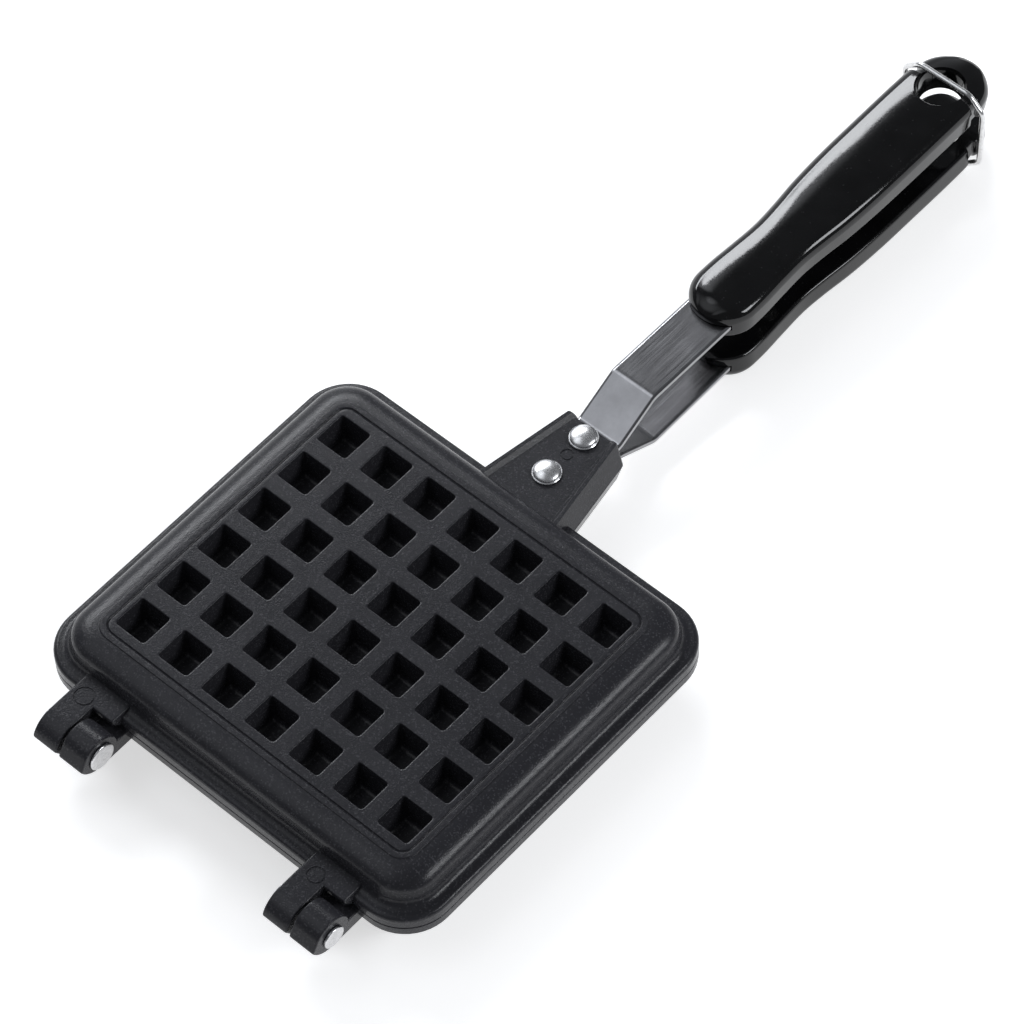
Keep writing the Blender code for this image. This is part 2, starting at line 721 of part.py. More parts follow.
def grip_size(y):
    """The grip's half width, inner height and crown height at y, with its ends rounded off."""
    from_front = y - GRIP_START
    from_end = GRIP_END - y
    share = from_front / GRIP_LENGTH
    full = GRIP_HALF_WIDTH * smooth_share(GRIP_PLAN_SHARES, share)
    width = full * quarter_round(from_front, full) * quarter_round(from_end, full)
    crown = GRIP_INNER + GRIP_THICKNESS * smooth_share(GRIP_CROWN_SHARES, share)
    strap = STRAP_CREST
    front_top = strap + 0.5 * STRAP_THICKNESS + GRIP_FRONT_LIP
    front_inner = strap - STRAP_FALL - 0.5 * STRAP_THICKNESS - GRIP_FRONT_LIP
    rise = quarter_round(from_front, GRIP_FRONT_TOP)
    top = front_top + (crown - front_top) * rise
    inner = front_inner + (GRIP_INNER - front_inner) * quarter_round(from_front, GRIP_FRONT_INNER)
    top = GRIP_MIDDLE + (top - GRIP_MIDDLE) * quarter_round(from_end, GRIP_END_TOP)
    inner = GRIP_MIDDLE + (inner - GRIP_MIDDLE) * quarter_round(from_end, GRIP_END_INNER)
    return width, inner, top


def grip_section(y, neck, steps=3):
    """The grip's cross-section at y: flat inside, nearly upright sides, round shoulders, gently domed."""
    width, inner, top = grip_size(y)
    width -= NECK_DEPTH * neck
    top -= NECK_TOP_DEPTH * neck
    height = top - inner
    edge = min(GRIP_EDGE_ROUND, 0.3 * height, 0.5 * width)
    foot = width - min(GRIP_SIDE_DRAFT, 0.1 * width)
    right = [
        (foot - edge, inner),
        (foot - 0.3 * edge, inner + 0.3 * edge),
        (foot, inner + edge),
    ]
    shoulder = min(GRIP_SHOULDER, 0.5 * height, 0.5 * width)
    rise = GRIP_BACK_RISE * width / GRIP_HALF_WIDTH
    flat = width - shoulder
    for i in range(steps + 1):
        angle = 0.5 * math.pi * i / steps
        z = top - rise - shoulder * (1.0 - math.sin(angle))
        right.append((flat + shoulder * math.cos(angle), z))
    right.append((0.5 * flat, top - 0.25 * rise))
    crown = [(0.0, top)]
    left = [(-x, z) for x, z in reversed(right)]
    return [(x, y, z) for x, z in right + crown + left]


def grip_stations():
    """Where the grip's sections stand, with the share of the neck groove's depth at each."""
    front = [GRIP_START + GRIP_FRONT_TOP * share for share in (0.01, 0.06, 0.18, 0.40, 0.70, 1.0)]
    neck_low = NECK_Y - 0.5 * NECK_WIDTH
    neck_high = NECK_Y + 0.5 * NECK_WIDTH
    first = front[-1]
    count = 11
    middle = [first + (neck_low - first) * i / count for i in range(1, count)]
    stations = [(y, 0.0) for y in front + middle]
    stations += [
        (neck_low, 0.0),
        (neck_low + NECK_FLANK, 1.0),
        (neck_high - NECK_FLANK, 1.0),
        (neck_high, 0.0),
    ]
    bulb = GRIP_END - neck_high
    for share in (0.30, 0.55, 0.75, 0.89, 0.97, 0.998):
        stations.append((neck_high + bulb * share, 0.0))
    return stations


def slot_tool():
    """The slot in the grip that takes the strap, in line with the strap's upper run."""
    slope = STRAP_FALL / STRAP_RUN
    half = 0.5 * STRAP_THICKNESS + SLOT_CLEARANCE
    low_y = GRIP_START - OVERRUN
    high_y = STRAP_TIP + SLOT_CLEARANCE
    profile = []
    for y, side in ((low_y, -1.0), (high_y, -1.0), (high_y, 1.0), (low_y, 1.0)):
        profile.append((y, STRAP_CREST - slope * (y - STRAP_SLOPE_END) + side * half))
    bm = bmesh.new()
    add_profile_x(bm, profile, -0.5 * STRAP_WIDTH - SLOT_CLEARANCE, 0.5 * STRAP_WIDTH + SLOT_CLEARANCE)
    return tool_mesh(bm)


def hanging_hole_tool():
    """The hanging hole: round at the inner face and flared to a longer oval at the back."""
    low = GRIP_INNER - OVERRUN
    land = GRIP_INNER + HANG_DISH_LAND
    levels = [(HANG_HOLE_RADIUS, HANG_HOLE_RADIUS, 0.0, low), (HANG_HOLE_RADIUS, HANG_HOLE_RADIUS, 0.0, land)]
    for i in range(1, DOME_STEPS + 1):
        share = i / DOME_STEPS
        flare = 1.0 - math.sqrt(1.0 - 0.96 * share * share)
        half_x = HANG_HOLE_RADIUS + (HANG_DISH_HALF_X - HANG_HOLE_RADIUS) * flare
        half_y = HANG_HOLE_RADIUS + (HANG_DISH_HALF_Y - HANG_HOLE_RADIUS) * flare
        levels.append((half_x, half_y, -HANG_DISH_SHIFT * flare, land + (GRIP_CROWN - land) * share))
    levels.append((levels[-1][0], levels[-1][1], levels[-1][2], GRIP_CROWN + OVERRUN))
    rings = []
    for half_x, half_y, shift, z in levels:
        ring = []
        for i in range(ROUND_STEPS):
            angle = TURN * i / ROUND_STEPS
            ring.append((half_x * math.cos(angle), HANG_HOLE_Y + shift + half_y * math.sin(angle), z))
        rings.append(ring)
    bm = bmesh.new()
    add_loft(bm, rings)
    return tool_mesh(bm)


def screw_hole_tool():
    """The stepped hole for the grip's screw."""
    bm = bmesh.new()
    seat = GRIP_INNER + SCREW_HEAD_RECESS + SCREW_HEAD_HEIGHT + SEAT_GAP
    head = SCREW_HEAD_RADIUS + SCREW_CLEARANCE
    shank = SCREW_RADIUS + SCREW_CLEARANCE
    end = screw_end() + SEAT_GAP
    profile = [
        (0.0, GRIP_INNER - OVERRUN),
        (head, GRIP_INNER - OVERRUN),
        (head, seat),
        (shank, seat),
        (shank, end),
        (0.0, end),
    ]
    add_turned(bm, profile, (0.0, SCREW_Y, 0.0), (0.0, 0.0, 1.0))
    return tool_mesh(bm)


def screw_end():
    """How high the grip's screw reaches, past the outer side of the strap."""
    strap = STRAP_CREST - STRAP_FALL * (SCREW_Y - STRAP_SLOPE_END) / STRAP_RUN
    return strap + 0.5 * STRAP_THICKNESS + SCREW_PAST_STRAP


def grip_mesh():
    """The moulded grip, with its strap slot, screw hole, neck groove and hanging hole."""
    bm = bmesh.new()
    add_loft(bm, [grip_section(y, neck) for y, neck in grip_stations()])
    grip = combine(tool_mesh(bm), slot_tool(), "DIFFERENCE")
    grip = combine(grip, screw_hole_tool(), "DIFFERENCE")
    grip = combine(grip, hanging_hole_tool(), "DIFFERENCE")
    return tidy("grip", grip, math.radians(50.0))


def screw_mesh():
    """A pan head screw with a cross drive, driven up into the grip from its inner face."""
    base = GRIP_INNER + SCREW_HEAD_RECESS
    seat = base + SCREW_HEAD_HEIGHT
    round_off = 0.4 * SCREW_HEAD_HEIGHT
    profile = [
        (0.0, base),
        (SCREW_HEAD_RADIUS - round_off, base),
        (SCREW_HEAD_RADIUS, base + round_off),
        (SCREW_HEAD_RADIUS, seat),
        (SCREW_RADIUS, seat),
        (SCREW_RADIUS, screw_end() - 0.5 * SCREW_RADIUS),
        (0.5 * SCREW_RADIUS, screw_end()),
        (0.0, screw_end()),
    ]
    bm = bmesh.new()
    add_turned(bm, profile, (0.0, 0.0, 0.0), (0.0, 0.0, 1.0), steps=16)
    drive = bmesh.new()
    low = base - OVERRUN
    high = base + SCREW_DRIVE_DEPTH
    add_box(drive, (-SCREW_DRIVE_HALF, -SCREW_DRIVE_SLOT, low), (SCREW_DRIVE_HALF, SCREW_DRIVE_SLOT, high))
    cross = bmesh.new()
    add_box(cross, (-SCREW_DRIVE_SLOT, -SCREW_DRIVE_HALF, low), (SCREW_DRIVE_SLOT, SCREW_DRIVE_HALF, high))
    star = combine(tool_mesh(drive), tool_mesh(cross), "UNION")
    return tidy("grip_screw", combine(tool_mesh(bm), star, "DIFFERENCE"))


def ring_corners():
    """The corners of the ring's centre line in (x, z), with z = 0 on its lower side, where it turns."""
    half = GRIP_HALF_WIDTH + WIRE_RADIUS + RING_SIDE_PLAY
    flat = half - RING_CORNER_RUN
    height = 2.0 * RING_DROP + RING_TOP_PLAY
    rise = RING_CORNER_RISE
    right = [(flat, 0.0), (half, rise), (half, height - rise), (flat, height)]
    left = [(-x, z) for x, z in reversed(right)]
    return right + left


def ring_mesh():
    """The closed wire ring, swept round its bent centre line."""
    corners = [Vector(corner) for corner in ring_corners()]
    count = len(corners)
    path = []
    for i, corner in enumerate(corners):
        back = (corners[i - 1] - corner).normalized()
        ahead = (corners[(i + 1) % count] - corner).normalized()
        half_angle = 0.5 * back.angle(ahead)
        centre = corner + (back + ahead).normalized() * (RING_BEND_RADIUS / math.sin(half_angle))
        reach = RING_BEND_RADIUS / math.tan(half_angle)
        start = corner + back * reach - centre
        stop = corner + ahead * reach - centre
        sweep = start.angle(stop)
        for step in range(3):
            share = step / 2
            spoke = (start * math.sin((1.0 - share) * sweep) + stop * math.sin(share * sweep)) / math.sin(sweep)
            path.append((centre + spoke, spoke.normalized()))
    rings = []
    for point, outward in path:
        ring = []
        for side in range(WIRE_SIDES):
            angle = TURN * (side + 0.5) / WIRE_SIDES
            out = WIRE_RADIUS * math.cos(angle)
            along = WIRE_RADIUS * math.sin(angle)
            ring.append((point.x + outward.x * out, along, point.y + outward.y * out))
        rings.append(ring)
    return loft_mesh("latch_ring", rings, closed=True)


def build():
    """Makes every piece once and places it in the lower and the upper half."""
    clear_scene()
    coating = material("black_coating", (0.030, 0.030, 0.032), 0.55, 0.0)
    steel = material("satin_steel", (0.560, 0.560, 0.570), 0.28, 1.0)
    aluminium = material("polished_aluminium", (0.800, 0.800, 0.810), 0.18, 1.0)
    pin_steel = material("pin_steel", (0.680, 0.680, 0.690), 0.30, 1.0)
    bakelite = material("black_bakelite", (0.012, 0.012, 0.013), 0.12, 0.0)
    screw_steel = material("zinc_steel", (0.620, 0.620, 0.600), 0.35, 1.0)
    wire = material("bright_wire", (0.720, 0.720, 0.720), 0.25, 1.0)

    parting = PLATE_HEIGHT
    hinge_axis = empty("hinge_axis", (0.0, HINGE_Y, parting))
    lower_frame = empty("lower_frame", (0.0, 0.0, parting), (0.0, math.pi, 0.0))
    halves = (("upper", hinge_axis, (0.0, -HINGE_Y, 0.0)), ("lower", lower_frame, (0.0, 0.0, 0.0)))

    plate = plate_mesh()
    strap = strap_mesh()
    rivet = rivet_mesh()
    grip = grip_mesh()
    screw = screw_mesh()
    for half, parent, offset in halves:
        base = Vector(offset)
        place(half + "_plate", plate, coating, parent, base)
        place(half + "_strap", strap, steel, parent, base)
        for which, y in RIVET_PLACES:
            place(half + "_rivet_" + which, rivet, aluminium, parent, base + Vector((0.0, y, 0.0)))
        place(half + "_grip", grip, bakelite, parent, base)
        place(half + "_grip_screw", screw, screw_steel, parent, base + Vector((0.0, SCREW_Y, 0.0)))

    pin = pin_mesh()
    for side, sign in (("left", -1.0), ("right", 1.0)):
        item = place("hinge_pin_" + side, pin, pin_steel)
        item.location = (sign * 0.5 * HINGE_SPACING, HINGE_Y, parting)
        if side == "right":
            item.rotation_euler = (0.0, 0.0, math.pi)

    place("latch_ring", ring_mesh(), wire, location=(0.0, NECK_Y, parting - RING_DROP))


build()
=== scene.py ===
"""Looks of the stovetop waffle iron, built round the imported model.

Every CAD node is replaced by a finer mesh of the same form, drawn from the same sizes. As in the part's
source, a half is drawn with z = 0 on the parting plane and then moved into the upper or the lower place.
"""

import json
import math

import bmesh
import bpy
from mathutils import Matrix, Vector


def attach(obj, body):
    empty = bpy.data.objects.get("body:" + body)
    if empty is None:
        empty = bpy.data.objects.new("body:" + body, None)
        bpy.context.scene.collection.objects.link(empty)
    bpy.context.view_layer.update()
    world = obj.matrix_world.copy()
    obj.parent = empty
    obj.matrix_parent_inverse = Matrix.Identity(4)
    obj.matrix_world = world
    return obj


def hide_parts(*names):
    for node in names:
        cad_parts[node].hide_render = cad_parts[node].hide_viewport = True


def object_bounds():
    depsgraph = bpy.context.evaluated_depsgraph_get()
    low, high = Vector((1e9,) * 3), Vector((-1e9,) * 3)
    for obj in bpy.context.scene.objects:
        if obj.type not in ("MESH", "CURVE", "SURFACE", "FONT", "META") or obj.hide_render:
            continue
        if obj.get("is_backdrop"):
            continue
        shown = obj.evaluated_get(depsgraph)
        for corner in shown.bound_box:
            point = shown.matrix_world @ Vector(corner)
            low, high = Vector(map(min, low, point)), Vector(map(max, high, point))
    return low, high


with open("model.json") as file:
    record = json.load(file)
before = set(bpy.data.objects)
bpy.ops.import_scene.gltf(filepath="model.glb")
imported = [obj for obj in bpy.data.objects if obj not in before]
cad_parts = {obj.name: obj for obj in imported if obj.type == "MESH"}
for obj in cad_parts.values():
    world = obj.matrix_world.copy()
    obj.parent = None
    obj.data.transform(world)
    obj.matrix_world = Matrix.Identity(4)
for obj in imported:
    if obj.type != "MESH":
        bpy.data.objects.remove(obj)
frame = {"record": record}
low_corner, high_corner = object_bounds()
cad_box = [list(low_corner), list(high_corner)]
PIN_BODY = next(
    name for name, nodes in frame["record"]["behaviour"]["bodies"].items() if "hinge_pin_left" in nodes
)


# Pits and plate, in metres
PITCH = 0.018
COLUMNS = 7
ROWS = 6
PIT_WIDTH = 0.012
PIT_CORNER = 0.0011
PIT_DEPTH = 0.0106
PIT_DRAFT = 0.0008
PIT_LIP_RUN = 0.0005
PIT_LIP_DROP = 0.00022
PIT_FILLET = 0.0016
PEG_WALL = 0.0016
PEG_FLOOR = 0.0017
PEG_ROUND = 0.0009
PEG_FILLET = 0.0006
PLATE_HEIGHT = 0.0147
PARTING_FACE = 0.00015
PANEL_MARGIN_X = 0.0017
PANEL_MARGIN_Y = 0.0031
PANEL_CORNER = 0.0036
GROOVE_WIDTH = 0.0009
GROOVE_DEPTH = 0.0005
BORDER_WIDTH = 0.0030
BORDER_CORNER = 0.0063
BORDER_STEP = 0.0004
SHOULDER_RUN = 0.0086
SHOULDER_DROP = 0.0050
WALL_DRAFT = 0.0004
FLANGE_RUN = 0.0050
FLANGE_HEIGHT = 0.0046
FLANGE_ROUND = 0.0004
FLANGE_EDGE = 0.0015
FLANGE_FILLET = 0.0028
RIM_CORNER = 0.0165
CASTING_WALL = 0.0025
CAVITY_ROUND = 0.0030

# Sections of the border's step and of the groove, as shares of their widths and depths
BORDER_PROFILE = ((0.25, 0.10), (0.5, 0.45), (0.8, 0.90), (1.0, 1.0))
GROOVE_PROFILE = (
    (1.12, 0.0), (0.96, 0.10), (0.72, 0.75), (0.5, 1.0), (0.28, 0.75), (0.04, 0.10), (-0.12, 0.0),
)

# Hinge
HINGE_SPACING = 0.0955
HINGE_REACH = 0.0117
ARM_WIDTH = 0.0098
ARM_SIDE_GAP = 0.0011
ARM_TOP = 0.0060
ARM_ARC_RADIUS = 0.0086
ARM_END_REACH = 0.0084
ARM_EDGE = 0.0007
BARREL_RADIUS = 0.0072
PAD_WIDTH = 0.0182
PAD_CLEARANCE = 0.0084
PAD_LIP = 0.0020
PIN_RADIUS = 0.0030
PIN_CLEARANCE = 0.0002
PIN_HEAD_RADIUS = 0.0048
PIN_HEAD_HEIGHT = 0.0010
PIN_TAIL_RADIUS = 0.0040
PIN_TAIL_HEIGHT = 0.0009
PIN_RIGHT_HEAD_SHARE = 0.5
PIN_HEAD_RIM_SHARE = 0.4
PIN_HEAD_FULLNESS = 0.8
PIN_TAIL_EDGE_SHARE = 0.45
PIN_DIMPLE_SHARE = 0.35
PIN_DIMPLE_PROFILE = ((0.0, 0.30), (0.6, 0.24), (1.0, 0.06), (1.25, 0.0))

# Tongue, strap and rivets
TONGUE_REACH = 0.0308
TONGUE_TOP = 0.0093
TONGUE_ROOT_HALF = 0.0149
TONGUE_END_HALF = 0.0098
TONGUE_FLARE = 0.0026
TONGUE_RIDGE = 0.0012
TONGUE_RIDGE_SLOPE = 0.0014
TONGUE_RIDGE_DRAFT = 0.1 * TONGUE_RIDGE
TONGUE_RECESS = 0.0014
TONGUE_END_ROUND = 0.0010
TONGUE_EDGE = 0.0006
STRAP_WIDTH = 0.0174
STRAP_THICKNESS = 0.0020
STRAP_EDGE = 0.0003
STRAP_EDGE_RUN = 0.0009
STRAP_FOOT_HEIGHT = 0.00255
STRAP_FOOT_SETBACK = 0.0030
STRAP_FIRST_BEND = 0.0028
STRAP_SLOPE_RUN = 0.0164
STRAP_RISE = 0.0089
STRAP_RUN = 0.0913
STRAP_FALL = 0.0015
STRAP_BEND_RADIUS = 0.0050
STRAP_SIDE_CLEARANCE = 0.0004
SEAT_GAP = 0.0003
RIVET_FIRST = 0.0085
RIVET_SPACING = 0.0174
RIVET_RADIUS = 0.0025
RIVET_CLEARANCE = 0.0002
RIVET_HEAD_RADIUS = 0.00485
RIVET_HEAD_HEIGHT = 0.0024
RIVET_HEAD_RIM = 0.0005
RIVET_HEAD_FULLNESS = 0.92
RIVET_TAIL_RADIUS = 0.0040
RIVET_TAIL_HEIGHT = 0.0008

# Grip and its screw
GRIP_FROM_BEND = 0.0328
GRIP_LENGTH = 0.1375
GRIP_HALF_WIDTH = 0.0136
GRIP_INNER = 0.0060
GRIP_THICKNESS = 0.0118
GRIP_EDGE_ROUND = 0.0012
GRIP_SIDE_DRAFT = 0.0003
GRIP_SHOULDER = 0.0042
GRIP_BACK_RISE = 0.0008
GRIP_FRONT_TOP = 0.0080
GRIP_FRONT_INNER = 0.0050
GRIP_FRONT_LIP = 0.0008
GRIP_END_TOP = 0.0165
GRIP_END_INNER = 0.0060
NECK_FROM_END = 0.0154
NECK_WIDTH = 0.0050
NECK_FLANK = 0.0010
NECK_DEPTH = 0.0012
NECK_TOP_DEPTH = 0.0004
HANG_HOLE_FROM_END = 0.0168
HANG_HOLE_RADIUS = 0.0074
HANG_DISH_HALF_X = 0.0092
HANG_DISH_HALF_Y = 0.0106
HANG_DISH_SHIFT = 0.0004
HANG_DISH_LAND = 0.0020
HANG_DISH_FULLNESS = 0.96
SLOT_CLEARANCE = 0.0003
GRIP_PLAN_SHARES = (
    (0.00, 0.870), (0.12, 0.885), (0.20, 0.840), (0.28, 0.812), (0.35, 0.860),
    (0.43, 0.940), (0.52, 0.985), (0.62, 1.000), (0.86, 1.000), (0.92, 0.975), (1.00, 0.975),
)
GRIP_CROWN_SHARES = (
    (0.00, 0.980), (0.10, 0.985), (0.19, 0.975), (0.28, 0.950), (0.36, 0.945),
    (0.45, 0.970), (0.56, 0.995), (0.64, 1.000), (0.86, 1.000), (0.91, 0.880), (1.00, 0.880),
)
SCREW_FROM_FRONT = 0.0335
SCREW_RADIUS = 0.0020
SCREW_CLEARANCE = 0.0002
SCREW_HEAD_RADIUS = 0.0035
SCREW_HEAD_HEIGHT = 0.0022
SCREW_HEAD_RECESS = 0.0004
SCREW_PAST_STRAP = 0.0020
SCREW_DRIVE_HALF = 0.0020
SCREW_DRIVE_SLOT = 0.0005
SCREW_DRIVE_DEPTH = 0.0010

# Latch ring
WIRE_RADIUS = 0.0010
RING_SIDE_PLAY = 0.0015
RING_TOP_PLAY = 0.0005
RING_NEST = 0.0002
RING_CORNER_RUN = 0.0060
RING_CORNER_RISE = 0.0055
RING_BEND_RADIUS = 0.0040

# How far a tool reaches past what it cuts, and how finely the round forms are drawn
OVERRUN = 0.0010
CORNER_STEPS = 12
SMALL_CORNER_STEPS = 5
ARC_STEPS = 10
ROUND_STEPS = 56
SCREW_STEPS = 40
MARK_STEPS = 48
HANG_HOLE_STEPS = 64
STRAP_BEND_STEPS = 12
STRAIGHT_STEPS = 6
GRIP_END_STEPS = 24
GRIP_BODY_STEPS = 60
NECK_STEPS = 20
RING_BEND_STEPS = 8
WIRE_SIDES = 16
EDGE_STEPS = 3
TURN = 2.0 * math.pi

# Derived places, as in the part's source
PIT_ORIGIN_X = -0.5 * (COLUMNS - 1) * PITCH
PIT_ORIGIN_Y = -0.5 * (ROWS - 1) * PITCH
PANEL_HALF_X = -PIT_ORIGIN_X + 0.5 * PIT_WIDTH + PANEL_MARGIN_X
PANEL_HALF_Y = -PIT_ORIGIN_Y + 0.5 * PIT_WIDTH + PANEL_MARGIN_Y
RIM_INSET = BORDER_WIDTH + SHOULDER_RUN + FLANGE_RUN
RIM_HALF_X = PANEL_HALF_X + RIM_INSET
RIM_HALF_Y = PANEL_HALF_Y + RIM_INSET
CEILING = PLATE_HEIGHT - CASTING_WALL
HINGE_Y = -(RIM_HALF_Y + HINGE_REACH)
TONGUE_END = RIM_HALF_Y + TONGUE_REACH
TONGUE_FLOOR = TONGUE_TOP - TONGUE_RECESS
STRAP_START = RIM_HALF_Y + STRAP_FOOT_SETBACK
STRAP_SLOPE_START = TONGUE_END + STRAP_FIRST_BEND
STRAP_SLOPE_END = STRAP_SLOPE_START + STRAP_SLOPE_RUN
STRAP_CREST = STRAP_FOOT_HEIGHT + STRAP_RISE
STRAP_TIP = STRAP_SLOPE_END + STRAP_RUN
CHANNEL_CEILING = STRAP_FOOT_HEIGHT + 0.5 * STRAP_THICKNESS + SEAT_GAP
RIVET_PLACES = (
    ("inner", RIM_HALF_Y + RIVET_FIRST),
    ("outer", RIM_HALF_Y + RIVET_FIRST + RIVET_SPACING),
)
GRIP_START = STRAP_SLOPE_END + GRIP_FROM_BEND
GRIP_END = GRIP_START + GRIP_LENGTH
GRIP_CROWN = GRIP_INNER + GRIP_THICKNESS
GRIP_MIDDLE = GRIP_INNER + 0.5 * GRIP_THICKNESS
NECK_Y = GRIP_END - NECK_FROM_END
HANG_HOLE_Y = GRIP_END - HANG_HOLE_FROM_END
SCREW_Y = GRIP_START + SCREW_FROM_FRONT
RING_DROP = GRIP_CROWN - GRIP_BACK_RISE - NECK_TOP_DEPTH + WIRE_RADIUS - RING_NEST

# Ring marks that the casting's ejector pins leave: middle (x, y), height of the face and radius
EJECTOR_MARKS = (
    (-0.0530, -0.0728, ARM_TOP, 0.0034),
    (0.0430, -0.0728, ARM_TOP, 0.0030),
    (0.0002, 0.0885, TONGUE_FLOOR, 0.0022),
)
MARK_WIDTH = 0.00045
MARK_DEPTH = 0.00025


# Mesh helpers

def quarter_turn(steps):
    """The sine and cosine at each step from 0 to 90 degrees."""
    angles = [0.5 * math.pi * i / steps for i in range(steps + 1)]
    return [(math.sin(angle), math.cos(angle)) for angle in angles]


def full_turn(steps, shift=0.0):
    """The sine and cosine at each step round a circle, moved on by a share of a step."""
    angles = [TURN * (i + shift) / steps for i in range(steps)]
    return [(math.sin(angle), math.cos(angle)) for angle in angles]


def arc(y, z, radius, start, stop):
    """Points (y, z) along an arc, from one angle to another."""
    steps = 2 * ARC_STEPS
    angles = [start + (stop - start) * i / steps for i in range(steps + 1)]
    return [(y + radius * math.cos(angle), z + radius * math.sin(angle)) for angle in angles]


def to_mesh(bm, name="tool"):
    """Turns a bmesh into a mesh whose faces point out."""
    bmesh.ops.recalc_face_normals(bm, faces=bm.faces[:])
    mesh = bpy.data.meshes.new(name)
    bm.to_mesh(mesh)
    bm.free()
    return mesh


def finish_mesh(name, bm, smooth_degrees=32.0):
    """The mesh of a finished piece, shaded smooth where its faces meet at less than an angle."""
    mesh = to_mesh(bm, name)
    mesh.shade_smooth()
    mesh.set_sharp_from_angle(angle=math.radians(smooth_degrees))
    return mesh


def opened(mesh):
    """A bmesh with the faces of a mesh."""
    bm = bmesh.new()
    bm.from_mesh(mesh)
    return bm


def add_loft(bm, rings, closed=False, caps=(True, True)):
    """Skins a row of rings that have the same number of points, and gives back their points."""
    rows = [[bm.verts.new(point) for point in ring] for ring in rings]
    count = len(rows[0])
    pairs = list(zip(rows, rows[1:]))
    if closed:
        pairs.append((rows[-1], rows[0]))
    for lower, upper in pairs:
        for i in range(count):
            j = (i + 1) % count
            bm.faces.new((lower[i], lower[j], upper[j], upper[i]))
    if not closed and caps[0]:
        bm.faces.new(list(reversed(rows[0])))
    if not closed and caps[1]:
        bm.faces.new(rows[-1])
    return rows


def add_profile_x(bm, profile, x_low, x_high):
    """A profile of (y, z) points drawn out along X."""
    add_loft(bm, [[(x, y, z) for y, z in profile] for x in (x_low, x_high)])


def lofted(rings, closed=False):
    """A bmesh that holds one loft."""
    bm = bmesh.new()
    add_loft(bm, rings, closed)
    return bm


def box_tool(low, high):
    """A box between two corners."""
    x0, y0, z0 = low
    x1, y1, z1 = high
    return to_mesh(lofted([[(x0, y0, z), (x1, y0, z), (x1, y1, z), (x0, y1, z)] for z in (z0, z1)]))


def add_turned(bm, profile, centre=(0.0, 0.0, 0.0), axis=(0.0, 0.0, 1.0), steps=ROUND_STEPS):
    """A solid turned about an axis, from (radius, height) points that start and end on it."""
    along = Vector(axis).normalized()
    side = along.orthogonal().normalized()
    across = along.cross(side)
    base = Vector(centre)
    rings = []
    for radius, height in profile[1:-1]:
        level = base + along * height
        spokes = [side * (radius * cos) + across * (radius * sin) for sin, cos in full_turn(steps)]
        rings.append([level + spoke for spoke in spokes])
    rows = add_loft(bm, rings, caps=(False, False))
    for (_, height), ring in ((profile[0], rows[0]), (profile[-1], rows[-1])):
        tip = bm.verts.new(base + along * height)
        for i in range(steps):
            bm.faces.new((ring[i], ring[(i + 1) % steps], tip))


def add_annulus(bm, centre, inner, outer, low, high):
    """A flat ring about a line along Z."""
    cx, cy = centre
    rings = []
    for radius, z in ((inner, low), (outer, low), (outer, high), (inner, high)):
        rings.append([(cx + radius * cos, cy + radius * sin, z) for sin, cos in full_turn(MARK_STEPS)])
    add_loft(bm, rings, closed=True)


def drum(radius, low, high):
    """The profile of a plain round bar."""
    return [(0.0, low), (radius, low), (radius, high), (0.0, high)]


def rounded_rectangle(half_x, half_y, corner, z, steps=CORNER_STEPS, centre=(0.0, 0.0)):
    """Points round a rectangle with round corners, counter-clockwise from its right side."""
    points = []
    for quarter in range(4):
        sx = 1.0 if quarter in (0, 3) else -1.0
        sy = 1.0 if quarter in (0, 1) else -1.0
        cx = centre[0] + sx * (half_x - corner)
        cy = centre[1] + sy * (half_y - corner)
        for i in range(steps + 1):
            angle = 0.5 * math.pi * (quarter + i / steps)
            points.append((cx + corner * math.cos(angle), cy + corner * math.sin(angle), z))
    return points


def new_object(name, data):
    """An object that is in the scene."""
    item = bpy.data.objects.new(name, data)
    bpy.context.scene.collection.objects.link(item)
    return item


def combine(base, tool, operation):
    """Joins a tool to a mesh, or cuts it out, and gives back the new mesh."""
    body = new_object("body_in_work", base)
    knife = new_object("tool_in_work", tool)
    modifier = body.modifiers.new("combine", "BOOLEAN")
    modifier.operation = operation
    modifier.solver = "EXACT"
    modifier.object = knife
    bpy.context.view_layer.update()
    graph = bpy.context.evaluated_depsgraph_get()
    result = bpy.data.meshes.new_from_object(body.evaluated_get(graph), depsgraph=graph)
    bpy.data.objects.remove(body, do_unlink=True)
    bpy.data.objects.remove(knife, do_unlink=True)
    return result


def soften(bm, width, sharp_degrees=38.0):
    """Rounds every edge that is sharper than an angle."""
    bmesh.ops.recalc_face_normals(bm, faces=bm.faces[:])
    sharp = math.radians(sharp_degrees)
    edges = [e for e in bm.edges if len(e.link_faces) == 2 and e.calc_face_angle(0.0) > sharp]
    bmesh.ops.bevel(
        bm, geom=edges, offset=width, offset_type="OFFSET", segments=EDGE_STEPS,
        profile=0.5, affect="EDGES", clamp_overlap=True,
    )


# Plate

def plate_ring(inset, z):
    """A ring round the plate, at a distance in from the rim and a height over the parting plane."""
    share = min(inset / (SHOULDER_RUN + FLANGE_RUN), 1.0)
    corner = RIM_CORNER + (BORDER_CORNER - RIM_CORNER) * share
    return rounded_rectangle(RIM_HALF_X - inset, RIM_HALF_Y - inset, corner, z)


